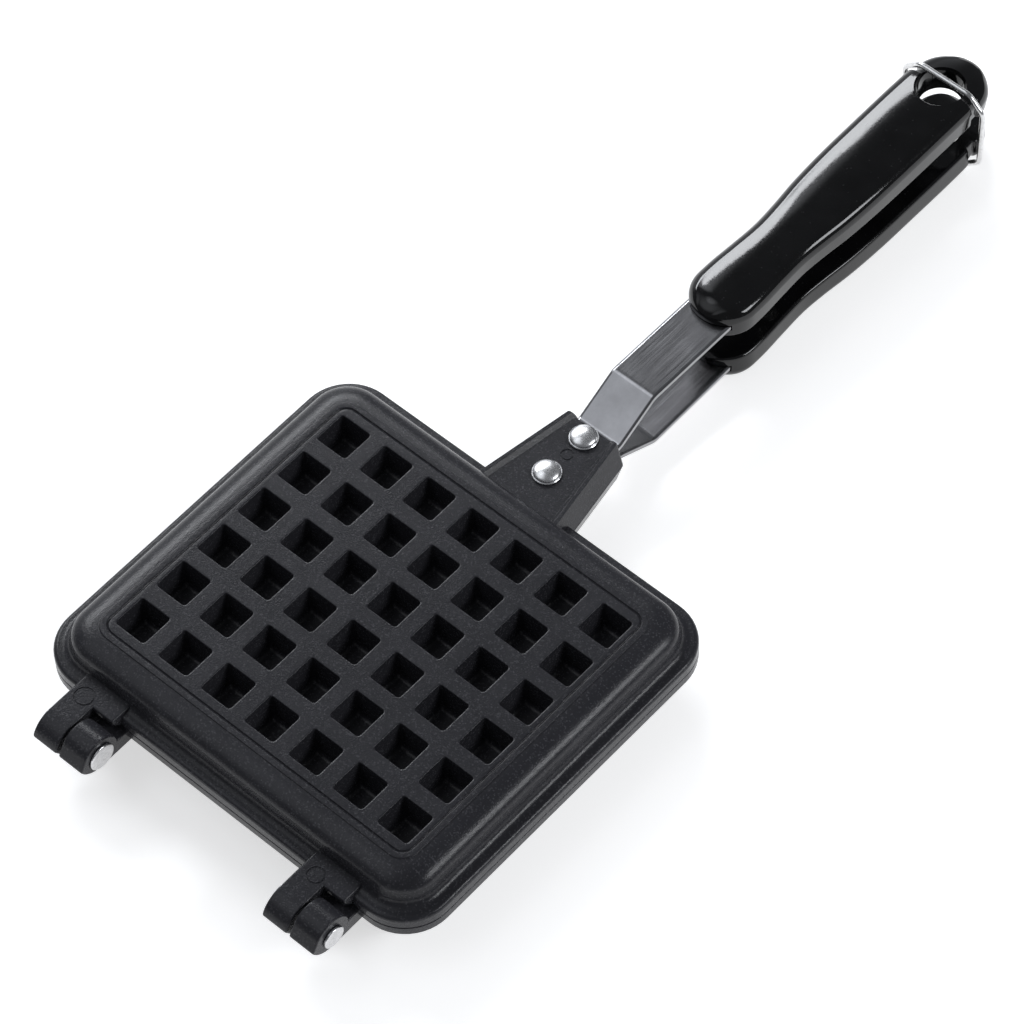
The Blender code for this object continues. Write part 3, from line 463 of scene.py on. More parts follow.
def plate_shell():
    """The plate's outer form, closed by one flat face where the pits go."""
    half_round = 0.5 * FLANGE_ROUND
    rings = [plate_ring(half_round, PARTING_FACE), plate_ring(0.0, PARTING_FACE + half_round)]
    for sin, cos in quarter_turn(ARC_STEPS - 1):
        z = FLANGE_HEIGHT - FLANGE_EDGE * (1.0 - sin)
        rings.append(plate_ring(FLANGE_EDGE * (1.0 - cos), z))
    for sin, cos in quarter_turn(ARC_STEPS - 1):
        inset = FLANGE_RUN - FLANGE_FILLET * (1.0 - sin)
        rings.append(plate_ring(inset, FLANGE_HEIGHT + FLANGE_FILLET * (1.0 - cos)))
    border_z = PLATE_HEIGHT - BORDER_STEP
    wall_top = border_z - SHOULDER_DROP
    run = SHOULDER_RUN - WALL_DRAFT
    for sin, cos in quarter_turn(2 * ARC_STEPS):
        inset = FLANGE_RUN + WALL_DRAFT + run * (1.0 - cos)
        rings.append(plate_ring(inset, wall_top + SHOULDER_DROP * sin))
    border_inset = FLANGE_RUN + SHOULDER_RUN
    for share, rise in BORDER_PROFILE:
        rings.append(plate_ring(border_inset + BORDER_STEP * share, border_z + BORDER_STEP * rise))
    for share, depth in GROOVE_PROFILE:
        grow = share * GROOVE_WIDTH
        z = PLATE_HEIGHT - GROOVE_DEPTH * depth
        rings.append(rounded_rectangle(PANEL_HALF_X + grow, PANEL_HALF_Y + grow, PANEL_CORNER + grow, z))
    return to_mesh(lofted(rings))


def cavity_tool():
    """The hollow of the cooking face, without its pegs."""
    wall_inset = FLANGE_RUN + CASTING_WALL
    rings = [plate_ring(wall_inset, -OVERRUN), plate_ring(wall_inset, PARTING_FACE)]
    for sin, cos in quarter_turn(6):
        inset = wall_inset + WALL_DRAFT + CAVITY_ROUND * (1.0 - cos)
        rings.append(plate_ring(inset, CEILING - CAVITY_ROUND * (1.0 - sin)))
    return to_mesh(lofted(rings))


def arm_profile():
    """The arm's (y, z) outline: flat on top, rounded down past the pin, and a barrel under the pin."""
    root = HINGE_REACH + FLANGE_RUN + OVERRUN
    arc_y = math.sqrt(ARM_ARC_RADIUS ** 2 - (ARM_ARC_RADIUS - ARM_TOP) ** 2) - ARM_END_REACH
    arc_z = ARM_TOP - ARM_ARC_RADIUS
    end_angle = math.acos((-ARM_END_REACH - arc_y) / ARM_ARC_RADIUS)
    back = arc(arc_y, arc_z, ARM_ARC_RADIUS, 0.5 * math.pi, end_angle)
    start = math.pi + math.acos(BARREL_RADIUS / ARM_END_REACH)
    stop = TURN + math.asin(PARTING_FACE / BARREL_RADIUS)
    barrel = arc(0.0, 0.0, BARREL_RADIUS, start, stop)
    points = [(root, ARM_TOP), *back, *barrel, (root, PARTING_FACE)]
    return [(HINGE_Y + y, z) for y, z in points]


def pad_profile():
    """The pad's (y, z) outline, cut back below so that it clears the other plate's arm."""
    root = HINGE_REACH + FLANGE_RUN + OVERRUN
    points = (
        (root, ARM_TOP),
        (PAD_CLEARANCE, ARM_TOP),
        (PAD_CLEARANCE, ARM_TOP - PAD_LIP),
        (HINGE_REACH - FLANGE_ROUND, PARTING_FACE),
        (root, PARTING_FACE),
    )
    return [(HINGE_Y + y, z) for y, z in points]


def hinge_sides():
    """The left side of each hinge, where its arm and pad begin."""
    for sign in (-1.0, 1.0):
        yield sign * 0.5 * HINGE_SPACING - ARM_WIDTH - 0.5 * ARM_SIDE_GAP


def tongue_section(y, half, drop=0.0):
    """The tongue's cross-section at y: drafted sides, a ridge along each edge and a recess between."""
    top = TONGUE_TOP - drop
    ridge_out = half - drop
    ridge_in = ridge_out - TONGUE_RIDGE
    recess = ridge_in - TONGUE_RIDGE_SLOPE
    foot = half + TONGUE_FLARE - drop
    right = [
        (foot, PARTING_FACE),
        (ridge_out + TONGUE_RIDGE_DRAFT, top),
        (ridge_in, top),
        (recess, TONGUE_FLOOR - drop),
    ]
    left = [(-x, z) for x, z in reversed(right)]
    return [(x, y, z) for x, z in right + left]


def tongue_tool():
    """The tongue, from inside the plate's wall to its rounded end."""
    root_y = RIM_HALF_Y - FLANGE_RUN - OVERRUN
    taper = (TONGUE_ROOT_HALF - TONGUE_END_HALF) / (TONGUE_END - RIM_HALF_Y)

    def half_at(y):
        return TONGUE_ROOT_HALF - taper * (y - RIM_HALF_Y)

    round_y = TONGUE_END - TONGUE_END_ROUND
    sections = [tongue_section(root_y, half_at(root_y))]
    for sin, cos in quarter_turn(4):
        y = round_y + TONGUE_END_ROUND * sin
        drop = TONGUE_END_ROUND * (1.0 - cos)
        sections.append(tongue_section(y, half_at(y), drop))
    bm = lofted(sections)
    soften(bm, TONGUE_EDGE, sharp_degrees=24.0)
    return to_mesh(bm)


def hinge_tool():
    """Both hinge arms and both pads, with their edges rounded."""
    arms = bmesh.new()
    pads = bmesh.new()
    for left in hinge_sides():
        add_profile_x(arms, arm_profile(), left, left + ARM_WIDTH)
        add_profile_x(pads, pad_profile(), left + OVERRUN, left + PAD_WIDTH)
    soften(arms, ARM_EDGE)
    soften(pads, ARM_EDGE)
    return combine(to_mesh(arms), to_mesh(pads), "UNION")


def channel_tool():
    """The channel under the tongue for the strap's foot, open at the tongue's end."""
    half = 0.5 * STRAP_WIDTH + STRAP_SIDE_CLEARANCE
    low = (-half, STRAP_START - STRAP_SIDE_CLEARANCE, -OVERRUN)
    return box_tool(low, (half, TONGUE_END + OVERRUN, CHANNEL_CEILING))


def bores_tool():
    """The holes for the hinge pins and rivets, and the ejector pins' ring marks."""
    bm = bmesh.new()
    for left in hinge_sides():
        profile = drum(PIN_RADIUS + PIN_CLEARANCE, left - OVERRUN, left + ARM_WIDTH + OVERRUN)
        add_turned(bm, profile, (0.0, HINGE_Y, 0.0), axis=(1.0, 0.0, 0.0))
    for _, y in RIVET_PLACES:
        profile = drum(RIVET_RADIUS + RIVET_CLEARANCE, 0.0, TONGUE_TOP + OVERRUN)
        add_turned(bm, profile, (0.0, y, 0.0))
    for x, y, z, radius in EJECTOR_MARKS:
        add_annulus(bm, (x, y), radius - MARK_WIDTH, radius, z - MARK_DEPTH, z + 0.5 * OVERRUN)
    return to_mesh(bm)


def pit_centres():
    """The middle of each pit, column by column."""
    for column in range(COLUMNS):
        for row in range(ROWS):
            yield PIT_ORIGIN_X + column * PITCH, PIT_ORIGIN_Y + row * PITCH


def hollow_levels(half, corner, top, floor, lip, fillet):
    """A pit's or a peg's (half width, corner, z) levels, from its rounded lip to its rounded floor."""
    run, drop, lip_steps = lip
    levels = []
    for sin, cos in quarter_turn(lip_steps):
        grow = run * (1.0 - sin)
        levels.append((half + grow, corner + grow, top - drop * (1.0 - cos)))
    for sin, cos in quarter_turn(4):
        inset = fillet * (1.0 - cos)
        levels.append((half - PIT_DRAFT - inset, corner - 0.5 * inset, floor + fillet * (1.0 - sin)))
    return levels


def fill_panel(bm, height, levels):
    """Takes the one flat face at a height out, and puts in the pits or pegs and the face between them."""
    flat = [f for f in bm.faces if all(abs(v.co.z - height) < 0.01 * OVERRUN for v in f.verts)]
    flat = [f for f in flat if abs(f.calc_center_median().y) < PITCH]
    panel = max(flat, key=lambda f: f.calc_area())
    edges = list(panel.edges)
    bmesh.ops.delete(bm, geom=[panel], context="FACES_ONLY")
    for centre in pit_centres():
        rings = [
            rounded_rectangle(half, half, corner, z, SMALL_CORNER_STEPS, centre) for half, corner, z in levels
        ]
        rows = add_loft(bm, rings, caps=(False, True))
        for a, b in zip(rows[0], rows[0][1:] + rows[0][:1]):
            edges.append(bm.edges.get((a, b)))
    bmesh.ops.triangle_fill(bm, use_beauty=True, use_dissolve=False, edges=edges, normal=(0.0, 0.0, 1.0))


def close_slits(bm):
    """Closes the slits, one triangle wide, that the cuts leave along a seam."""
    bmesh.ops.holes_fill(bm, edges=[e for e in bm.edges if len(e.link_faces) == 1], sides=3)
    slit = [e for e in bm.edges if len(e.link_faces) == 1]
    if slit:
        short = min(slit, key=lambda e: e.calc_length())
        bmesh.ops.weld_verts(bm, targetmap={short.verts[0]: short.verts[1]})


def plate_mesh():
    """One cast plate, with its cavity, pegs, pits, hinge arms and tongue."""
    plate = combine(plate_shell(), tongue_tool(), "UNION")
    plate = combine(plate, hinge_tool(), "UNION")
    for tool in (cavity_tool(), channel_tool(), bores_tool()):
        plate = combine(plate, tool, "DIFFERENCE")
    bm = opened(plate)
    bmesh.ops.remove_doubles(bm, verts=bm.verts[:], dist=1e-7)
    half = 0.5 * PIT_WIDTH
    floor = PLATE_HEIGHT - PIT_DEPTH
    pit_lip = (PIT_LIP_RUN, PIT_LIP_DROP, 5)
    pit = hollow_levels(half, PIT_CORNER, PLATE_HEIGHT, floor, pit_lip, PIT_FILLET)
    fill_panel(bm, PLATE_HEIGHT, pit)
    peg_half = half + PEG_WALL
    peg_root = (PEG_FILLET, PEG_FILLET, 3)
    peg = hollow_levels(peg_half, PIT_CORNER + PEG_WALL, CEILING, floor - PEG_FLOOR, peg_root, PEG_ROUND)
    fill_panel(bm, CEILING, peg)
    close_slits(bm)
    return finish_mesh("plate", bm)


# Strap, rivets and pins

def bend(before, corner, after, radius, steps):
    """The middle of a bend that rounds a corner, and the spokes from there to the bend's points."""
    back = (before - corner).normalized()
    ahead = (after - corner).normalized()
    half_angle = 0.5 * back.angle(ahead)
    reach = radius / math.tan(half_angle)
    centre = corner + (back + ahead).normalized() * (radius / math.sin(half_angle))
    start = corner + back * reach - centre
    stop = corner + ahead * reach - centre
    sweep = start.angle(stop)
    spokes = []
    for i in range(steps + 1):
        share = i / steps
        near_start = start * math.sin((1.0 - share) * sweep)
        spokes.append((near_start + stop * math.sin(share * sweep)) / math.sin(sweep))
    return centre, spokes


def bent_path(path):
    """Points and unit normals along the strap's path in (y, z), with its corners bent."""
    corners = [Vector(corner) for corner in path]
    points = corners[:1]
    for before, corner, after in zip(corners, corners[1:], corners[2:]):
        centre, spokes = bend(before, corner, after, STRAP_BEND_RADIUS, STRAP_BEND_STEPS)
        spoke_ends = [centre + spoke for spoke in spokes]
        last = points[-1]
        for i in range(1, STRAIGHT_STEPS):
            points.append(last.lerp(spoke_ends[0], i / STRAIGHT_STEPS))
        points += spoke_ends
    last = points[-1]
    for i in range(1, STRAIGHT_STEPS + 1):
        points.append(last.lerp(corners[-1], i / STRAIGHT_STEPS))
    result = []
    for i, point in enumerate(points):
        ahead = points[min(i + 1, len(points) - 1)] - points[max(i - 1, 0)]
        result.append((point, Vector((-ahead.y, ahead.x)).normalized()))
    return result


def strap_mesh():
    """The steel strap with rolled edges, its two rivet holes and its screw hole."""
    path = (
        (STRAP_START, STRAP_FOOT_HEIGHT),
        (STRAP_SLOPE_START, STRAP_FOOT_HEIGHT),
        (STRAP_SLOPE_END, STRAP_CREST),
        (STRAP_TIP, STRAP_CREST - STRAP_FALL),
    )
    half = 0.5 * STRAP_THICKNESS
    section = rounded_rectangle(0.5 * STRAP_WIDTH, half, STRAP_EDGE, 0.0, SMALL_CORNER_STEPS)
    spread = (STRAP_EDGE_RUN - STRAP_EDGE) / STRAP_EDGE
    rings = []
    for point, normal in bent_path(path):
        ring = []
        for x, t, _ in section:
            x -= math.copysign(spread * max(abs(t) - half + STRAP_EDGE, 0.0), x)
            ring.append((x, point.x + normal.x * t, point.y + normal.y * t))
        rings.append(ring)
    holes = bmesh.new()
    places = [(y, RIVET_RADIUS + RIVET_CLEARANCE) for _, y in RIVET_PLACES]
    places.append((SCREW_Y, SCREW_RADIUS + SCREW_CLEARANCE))
    for y, radius in places:
        add_turned(holes, drum(radius, 0.0, GRIP_CROWN), (0.0, y, 0.0))
    strap = combine(to_mesh(lofted(rings)), to_mesh(holes), "DIFFERENCE")
    return finish_mesh("strap", opened(strap), smooth_degrees=36.0)


def rivet_mesh():
    """A rivet with a polished round head on a thin rim, and a flat tail under the strap."""
    under_strap = STRAP_FOOT_HEIGHT - 0.5 * STRAP_THICKNESS - SEAT_GAP
    tail_end = under_strap - RIVET_TAIL_HEIGHT
    seat = TONGUE_FLOOR + SEAT_GAP
    rim = RIVET_HEAD_RIM
    tail_round = 0.3 * RIVET_TAIL_HEIGHT
    profile = [
        (0.0, tail_end),
        (RIVET_TAIL_RADIUS - tail_round, tail_end),
        (RIVET_TAIL_RADIUS, tail_end + tail_round),
        (RIVET_TAIL_RADIUS, under_strap),
        (RIVET_RADIUS, under_strap),
        (RIVET_RADIUS, seat),
        (RIVET_HEAD_RADIUS - 0.2 * rim, seat),
        (RIVET_HEAD_RADIUS, seat + 0.2 * rim),
        (RIVET_HEAD_RADIUS, seat + 0.7 * rim),
        (RIVET_HEAD_RADIUS - 0.3 * rim, seat + rim),
    ]
    inner = RIVET_HEAD_RADIUS - 0.7 * rim
    for sin, cos in quarter_turn(14)[:-1]:
        bulge = (RIVET_HEAD_HEIGHT - rim) * sin ** RIVET_HEAD_FULLNESS
        profile.append((inner * cos, seat + rim + bulge))
    profile.append((0.0, seat + RIVET_HEAD_HEIGHT))
    bm = bmesh.new()
    add_turned(bm, profile)
    return finish_mesh("rivet", bm, smooth_degrees=40.0)


def pin_mesh(head_height):
    """A hinge pin along +X: a round head, a shank through both arms and a riveted-over tail."""
    length = 2.0 * ARM_WIDTH + ARM_SIDE_GAP
    tail_seat = -0.5 * length - SEAT_GAP
    head_seat = 0.5 * length + SEAT_GAP
    tail_top = tail_seat - PIN_TAIL_HEIGHT
    edge = PIN_TAIL_EDGE_SHARE * PIN_TAIL_HEIGHT
    dimple = PIN_DIMPLE_SHARE * PIN_TAIL_RADIUS
    profile = [(share * dimple, tail_top + depth * PIN_TAIL_HEIGHT) for share, depth in PIN_DIMPLE_PROFILE]
    for sin, cos in quarter_turn(6):
        radius = PIN_TAIL_RADIUS - 2.0 * edge + 2.0 * edge * sin
        profile.append((radius, tail_top + edge * (1.0 - cos)))
    profile += [(PIN_TAIL_RADIUS, tail_seat), (PIN_RADIUS, tail_seat), (PIN_RADIUS, head_seat)]
    rim = PIN_HEAD_RIM_SHARE * head_height
    profile += [(PIN_HEAD_RADIUS, head_seat), (PIN_HEAD_RADIUS, head_seat + rim)]
    for sin, cos in quarter_turn(10)[1:-1]:
        radius = PIN_HEAD_RADIUS * cos ** PIN_HEAD_FULLNESS
        profile.append((radius, head_seat + rim + (head_height - rim) * sin))
    profile.append((0.0, head_seat + head_height))
    bm = bmesh.new()
    add_turned(bm, profile, axis=(1.0, 0.0, 0.0))
    return finish_mesh("hinge_pin", bm, smooth_degrees=40.0)


# Grip

def smooth_share(table, share):
    """Reads a table of (share, value) points along a smooth curve."""
    for index, ((x0, v0), (x1, v1)) in enumerate(zip(table, table[1:])):
        if share <= x1:
            before = table[max(index - 1, 0)]
            after = table[min(index + 2, len(table) - 1)]
            span = x1 - x0
            slope0 = (v1 - before[1]) / (x1 - before[0]) * span
            slope1 = (after[1] - v0) / (after[0] - x0) * span
            t = (share - x0) / span
            return (
                (2 * t ** 3 - 3 * t ** 2 + 1) * v0
                + (t ** 3 - 2 * t ** 2 + t) * slope0
                + (-2 * t ** 3 + 3 * t ** 2) * v1
                + (t ** 3 - t ** 2) * slope1
            )
    return table[-1][1]


def quarter_round(distance, length):
    """Rises from 0 at an end to 1 at the given length from it, as a quarter of an ellipse."""
    if distance >= length:
        return 1.0
    return math.sqrt(max(1.0 - (1.0 - distance / length) ** 2, 0.0))


def grip_size(y):
    """The grip's half width, inner height and crown height at y, with its ends rounded off."""
    from_front = y - GRIP_START
    from_end = GRIP_END - y
    share = from_front / GRIP_LENGTH
    full = GRIP_HALF_WIDTH * smooth_share(GRIP_PLAN_SHARES, share)
    width = full * quarter_round(from_front, full) * quarter_round(from_end, full)
    crown = GRIP_INNER + GRIP_THICKNESS * smooth_share(GRIP_CROWN_SHARES, share)
    front_top = STRAP_CREST + 0.5 * STRAP_THICKNESS + GRIP_FRONT_LIP
    front_inner = STRAP_CREST - STRAP_FALL - 0.5 * STRAP_THICKNESS - GRIP_FRONT_LIP
    rise = quarter_round(from_front, GRIP_FRONT_TOP)
    top = front_top + (crown - front_top) * rise
    inner = front_inner + (GRIP_INNER - front_inner) * quarter_round(from_front, GRIP_FRONT_INNER)
    top = GRIP_MIDDLE + (top - GRIP_MIDDLE) * quarter_round(from_end, GRIP_END_TOP)
    inner = GRIP_MIDDLE + (inner - GRIP_MIDDLE) * quarter_round(from_end, GRIP_END_INNER)
    return width, inner, top


def grip_section(y, neck):
    """The grip's cross-section at y: flat inside, nearly upright sides, round shoulders, gently domed."""
    width, inner, top = grip_size(y)
    width -= NECK_DEPTH * neck * min(1.0, width / GRIP_HALF_WIDTH)
    top -= NECK_TOP_DEPTH * neck
    height = top - inner
    edge = min(GRIP_EDGE_ROUND, 0.3 * height, 0.5 * width)
    foot = width - min(GRIP_SIDE_DRAFT, 0.1 * width)
    right = []
    for sin, cos in quarter_turn(5):
        right.append((foot - edge * (1.0 - sin), inner + edge * (1.0 - cos)))
    shoulder = min(GRIP_SHOULDER, 0.5 * height, 0.5 * width)
    rise = GRIP_BACK_RISE * width / GRIP_HALF_WIDTH
    flat = width - shoulder
    for sin, cos in quarter_turn(12):
        right.append((flat + shoulder * cos, top - rise - shoulder * (1.0 - sin)))
    for i in range(1, 8):
        share = 1.0 - i / 8
        right.append((share * flat, top - rise * share * share))
    crown = [(0.0, top)]
    left = [(-x, z) for x, z in reversed(right)]
    return [(x, y, z) for x, z in right + crown + left]


def grip_stations():
    """Where the grip's sections stand, with the share of the neck groove's depth at each."""
    front = 1.6 * GRIP_FRONT_TOP
    turn = quarter_turn(GRIP_END_STEPS)
    stations = [GRIP_START + front * (1.0 - cos) for _, cos in turn[1:]]
    neck_low = NECK_Y - 0.5 * NECK_WIDTH
    neck_high = NECK_Y + 0.5 * NECK_WIDTH
    first = stations[-1]
    stations += [first + (neck_low - first) * i / GRIP_BODY_STEPS for i in range(1, GRIP_BODY_STEPS + 1)]
    stations += [neck_low + NECK_WIDTH * i / NECK_STEPS for i in range(1, NECK_STEPS + 1)]
    bulb = GRIP_END - neck_high
    stations += [neck_high + bulb * sin for sin, _ in turn[1:-1]]
    result = []
    for y in stations:
        edge = min(y - neck_low, neck_high - y)
        share = min(max(edge / NECK_FLANK, 0.0), 1.0)
        result.append((y, share * share * (3.0 - 2.0 * share)))
    return result


def slot_tool():
    """The slot in the grip that takes the strap, in line with the strap's upper run."""
    slope = STRAP_FALL / STRAP_RUN
    half = 0.5 * STRAP_THICKNESS + SLOT_CLEARANCE
    low_y = GRIP_START - OVERRUN
    high_y = STRAP_TIP + SLOT_CLEARANCE
    profile = []
    for y, side in ((low_y, -1.0), (high_y, -1.0), (high_y, 1.0), (low_y, 1.0)):
        profile.append((y, STRAP_CREST - slope * (y - STRAP_SLOPE_END) + side * half))
    bm = bmesh.new()
    half_width = 0.5 * STRAP_WIDTH + SLOT_CLEARANCE
    add_profile_x(bm, profile, -half_width, half_width)
    return to_mesh(bm)


def hanging_hole_tool():
    """The hanging hole: round at the inner face and flared to a longer oval at the back."""
    low = GRIP_INNER - OVERRUN
    land = GRIP_INNER + HANG_DISH_LAND
    radius = HANG_HOLE_RADIUS
    levels = [(radius, radius, 0.0, low), (radius, radius, 0.0, land)]
    for share, _ in quarter_turn(16)[1:]:
        flare = 1.0 - math.sqrt(1.0 - HANG_DISH_FULLNESS * share * share)
        half_x = radius + (HANG_DISH_HALF_X - radius) * flare
        half_y = radius + (HANG_DISH_HALF_Y - radius) * flare
        levels.append((half_x, half_y, -HANG_DISH_SHIFT * flare, land + (GRIP_CROWN - land) * share))
    levels.append((*levels[-1][:3], GRIP_CROWN + OVERRUN))
    rings = []
    for half_x, half_y, shift, z in levels:
        middle = HANG_HOLE_Y + shift
        rings.append([(half_x * cos, middle + half_y * sin, z) for sin, cos in full_turn(HANG_HOLE_STEPS)])
    return to_mesh(lofted(rings))


def screw_end():
    """How high the grip's screw reaches, past the outer side of the strap."""
    strap = STRAP_CREST - STRAP_FALL * (SCREW_Y - STRAP_SLOPE_END) / STRAP_RUN
    return strap + 0.5 * STRAP_THICKNESS + SCREW_PAST_STRAP


def screw_hole_tool():
    """The stepped hole for the grip's screw."""
    bm = bmesh.new()
    seat = GRIP_INNER + SCREW_HEAD_RECESS + SCREW_HEAD_HEIGHT + SEAT_GAP
    head = SCREW_HEAD_RADIUS + SCREW_CLEARANCE
    shank = SCREW_RADIUS + SCREW_CLEARANCE
    end = screw_end() + SEAT_GAP
    low = GRIP_INNER - OVERRUN
    profile = [(0.0, low), (head, low), (head, seat), (shank, seat), (shank, end), (0.0, end)]
    add_turned(bm, profile, (0.0, SCREW_Y, 0.0))
    return to_mesh(bm)


def grip_mesh():
    """The moulded grip, with its strap slot, screw hole, neck groove and hanging hole."""
    grip = to_mesh(lofted([grip_section(y, neck) for y, neck in grip_stations()]))
    for tool in (slot_tool(), screw_hole_tool(), hanging_hole_tool()):
        grip = combine(grip, tool, "DIFFERENCE")
    bm = opened(grip)
    bmesh.ops.remove_doubles(bm, verts=bm.verts[:], dist=1e-6)
    return finish_mesh("grip", bm, smooth_degrees=42.0)


def screw_mesh():
    """A pan head screw with a cross drive, driven up into the grip from its inner face."""
    base = GRIP_INNER + SCREW_HEAD_RECESS
    seat = base + SCREW_HEAD_HEIGHT
    round_off = 0.4 * SCREW_HEAD_HEIGHT
    profile = [(0.0, base)]
    for sin, cos in quarter_turn(6):
        radius = SCREW_HEAD_RADIUS - round_off * (1.0 - sin)
        profile.append((radius, base + round_off * (1.0 - cos)))
    profile += [
        (SCREW_HEAD_RADIUS, seat),
        (SCREW_RADIUS, seat),
        (SCREW_RADIUS, screw_end() - 0.5 * SCREW_RADIUS),
        (0.5 * SCREW_RADIUS, screw_end()),
        (0.0, screw_end()),
    ]
    bm = bmesh.new()
    add_turned(bm, profile, steps=SCREW_STEPS)
    low = base - OVERRUN
    high = base + SCREW_DRIVE_DEPTH
    long = SCREW_DRIVE_HALF
    slot = SCREW_DRIVE_SLOT
    bars = [box_tool((-x, -y, low), (x, y, high)) for x, y in ((long, slot), (slot, long))]
    drive = combine(*bars, "UNION")
    return finish_mesh("grip_screw", opened(combine(to_mesh(bm), drive, "DIFFERENCE")))


# Latch ring

def ring_mesh():
    """The closed wire ring, swept round its bent centre line."""
    half = GRIP_HALF_WIDTH + WIRE_RADIUS + RING_SIDE_PLAY
    flat = half - RING_CORNER_RUN
    height = 2.0 * RING_DROP + RING_TOP_PLAY
    right = [(flat, 0.0), (half, RING_CORNER_RISE), (half, height - RING_CORNER_RISE), (flat, height)]
    corners = [Vector(c) for c in right + [(-x, z) for x, z in reversed(right)]]
    rings = []
    for i, corner in enumerate(corners):
        after = corners[(i + 1) % len(corners)]
        centre, spokes = bend(corners[i - 1], corner, after, RING_BEND_RADIUS, RING_BEND_STEPS)
        for spoke in spokes:
            point = centre + spoke
            outward = spoke.normalized()
            ring = []
            for sin, cos in full_turn(WIRE_SIDES, shift=0.5):
                out = WIRE_RADIUS * cos
                ring.append((point.x + outward.x * out, WIRE_RADIUS * sin, point.y + outward.y * out))
            rings.append(ring)
    return finish_mesh("latch_ring", lofted(rings, closed=True), smooth_degrees=60.0)


# Materials

COATING_FLAT = (0.008, 0.008, 0.009)
COATING_DARK = (0.0200, 0.0200, 0.0234)
COATING_PALE = (0.0262, 0.0262, 0.0303)
COATING_FLECK = (0.052, 0.052, 0.058)
BAKELITE_FLAT = (0.0035, 0.0035, 0.0038)
BAKELITE_DARK = (0.0028, 0.0028, 0.0031)
BAKELITE_PALE = (0.0050, 0.0050, 0.0054)
BAKELITE_DUST = (0.020, 0.020, 0.021)
STRAP_STEEL = (0.32, 0.32, 0.331)
RIVET_ALUMINIUM = (0.92, 0.92, 0.93)
PIN_STEEL = (0.72, 0.72, 0.73)
SCREW_ZINC = (0.60, 0.60, 0.58)
RING_WIRE = (0.74, 0.74, 0.74)
FLOOR_PAPER = (0.80, 0.80, 0.80)

# The range that holds nearly all of a noise texture's values
NOISE_SPREAD = (0.3, 0.7)


def new_material(name, color, roughness, metallic, **sockets):
    """A Principled material whose constant values sit on the shader's own sockets."""
    made = bpy.data.materials.new(name)
    made.use_nodes = True
    shader = made.node_tree.nodes["Principled BSDF"]
    shader.inputs["Base Color"].default_value = (*color, 1.0)
    shader.inputs["Roughness"].default_value = roughness
    shader.inputs["Metallic"].default_value = metallic
    for socket, value in sockets.items():
        shader.inputs[socket.replace("_", " ")].default_value = value
    return made


def add_node(made, kind, **settings):
    """One node with settings on itself."""
    node = made.node_tree.nodes.new(kind)
    for key, value in settings.items():
        setattr(node, key, value)
    return node


def link(made, output, socket):
    """A link between two nodes."""
    made.node_tree.links.new(output, socket)


def object_points(made, scale=(1.0, 1.0, 1.0)):
    """The object's own coordinates, in metres, stretched along its axes."""
    points = add_node(made, "ShaderNodeTexCoord")
    mapping = add_node(made, "ShaderNodeMapping")
    mapping.inputs["Scale"].default_value = scale
    link(made, points.outputs["Object"], mapping.inputs["Vector"])
    return mapping.outputs["Vector"]


def noise(made, points, per_metre, detail=2.0, rough=0.5):
    """A noise texture's value over the object."""
    node = add_node(made, "ShaderNodeTexNoise")
    node.inputs["Scale"].default_value = per_metre
    node.inputs["Detail"].default_value = detail
    node.inputs["Roughness"].default_value = rough
    link(made, points, node.inputs["Vector"])
    return node.outputs["Fac"]


def cells(made, points, per_metre):
    """A random value for each small cell over the object."""
    node = add_node(made, "ShaderNodeTexVoronoi", feature="F1")
    node.inputs["Scale"].default_value = per_metre
    link(made, points, node.inputs["Vector"])
    split = add_node(made, "ShaderNodeSeparateColor")
    link(made, node.outputs["Color"], split.inputs["Color"])
    return split.outputs["Red"]


def remap(made, value, old=NOISE_SPREAD, new=(0.0, 1.0), kind="LINEAR"):
    """A value moved from one range to another and held inside it."""
    node = add_node(made, "ShaderNodeMapRange", interpolation_type=kind)
    for socket, number in zip(("From Min", "From Max", "To Min", "To Max"), old + new):
        node.inputs[socket].default_value = number
    link(made, value, node.inputs["Value"])
    return node.outputs["Result"]


def mix_colors(made, share, dark, light):
    """A colour between two, each a colour or a socket."""
    node = add_node(made, "ShaderNodeMix", data_type="RGBA")
    link(made, share, node.inputs["Factor"])
    for slot_index, color in ((6, dark), (7, light)):
        if isinstance(color, tuple):
            node.inputs[slot_index].default_value = (*color, 1.0)
        else:
            link(made, color, node.inputs[slot_index])
    return node.outputs[2]


def link_shader(made, **values):
    """Links values into the shader's sockets."""
    shader = made.node_tree.nodes["Principled BSDF"]
    for socket, value in values.items():
        link(made, value, shader.inputs[socket.replace("_", " ")])


def bump(made, layers):
    """Bumps on top of each other, each (height, strength, distance in metres)."""
    last = None
    for height, strength, distance in layers:
        node = add_node(made, "ShaderNodeBump")
        node.inputs["Strength"].default_value = strength
        node.inputs["Distance"].default_value = distance
        link(made, height, node.inputs["Height"])
        if last is not None:
            link(made, last, node.inputs["Normal"])
        last = node.outputs["Normal"]
    link_shader(made, Normal=last)


def shade(color, factor):
    """A colour made darker or lighter by a factor."""
    return tuple(min(1.0, factor * c) for c in color)


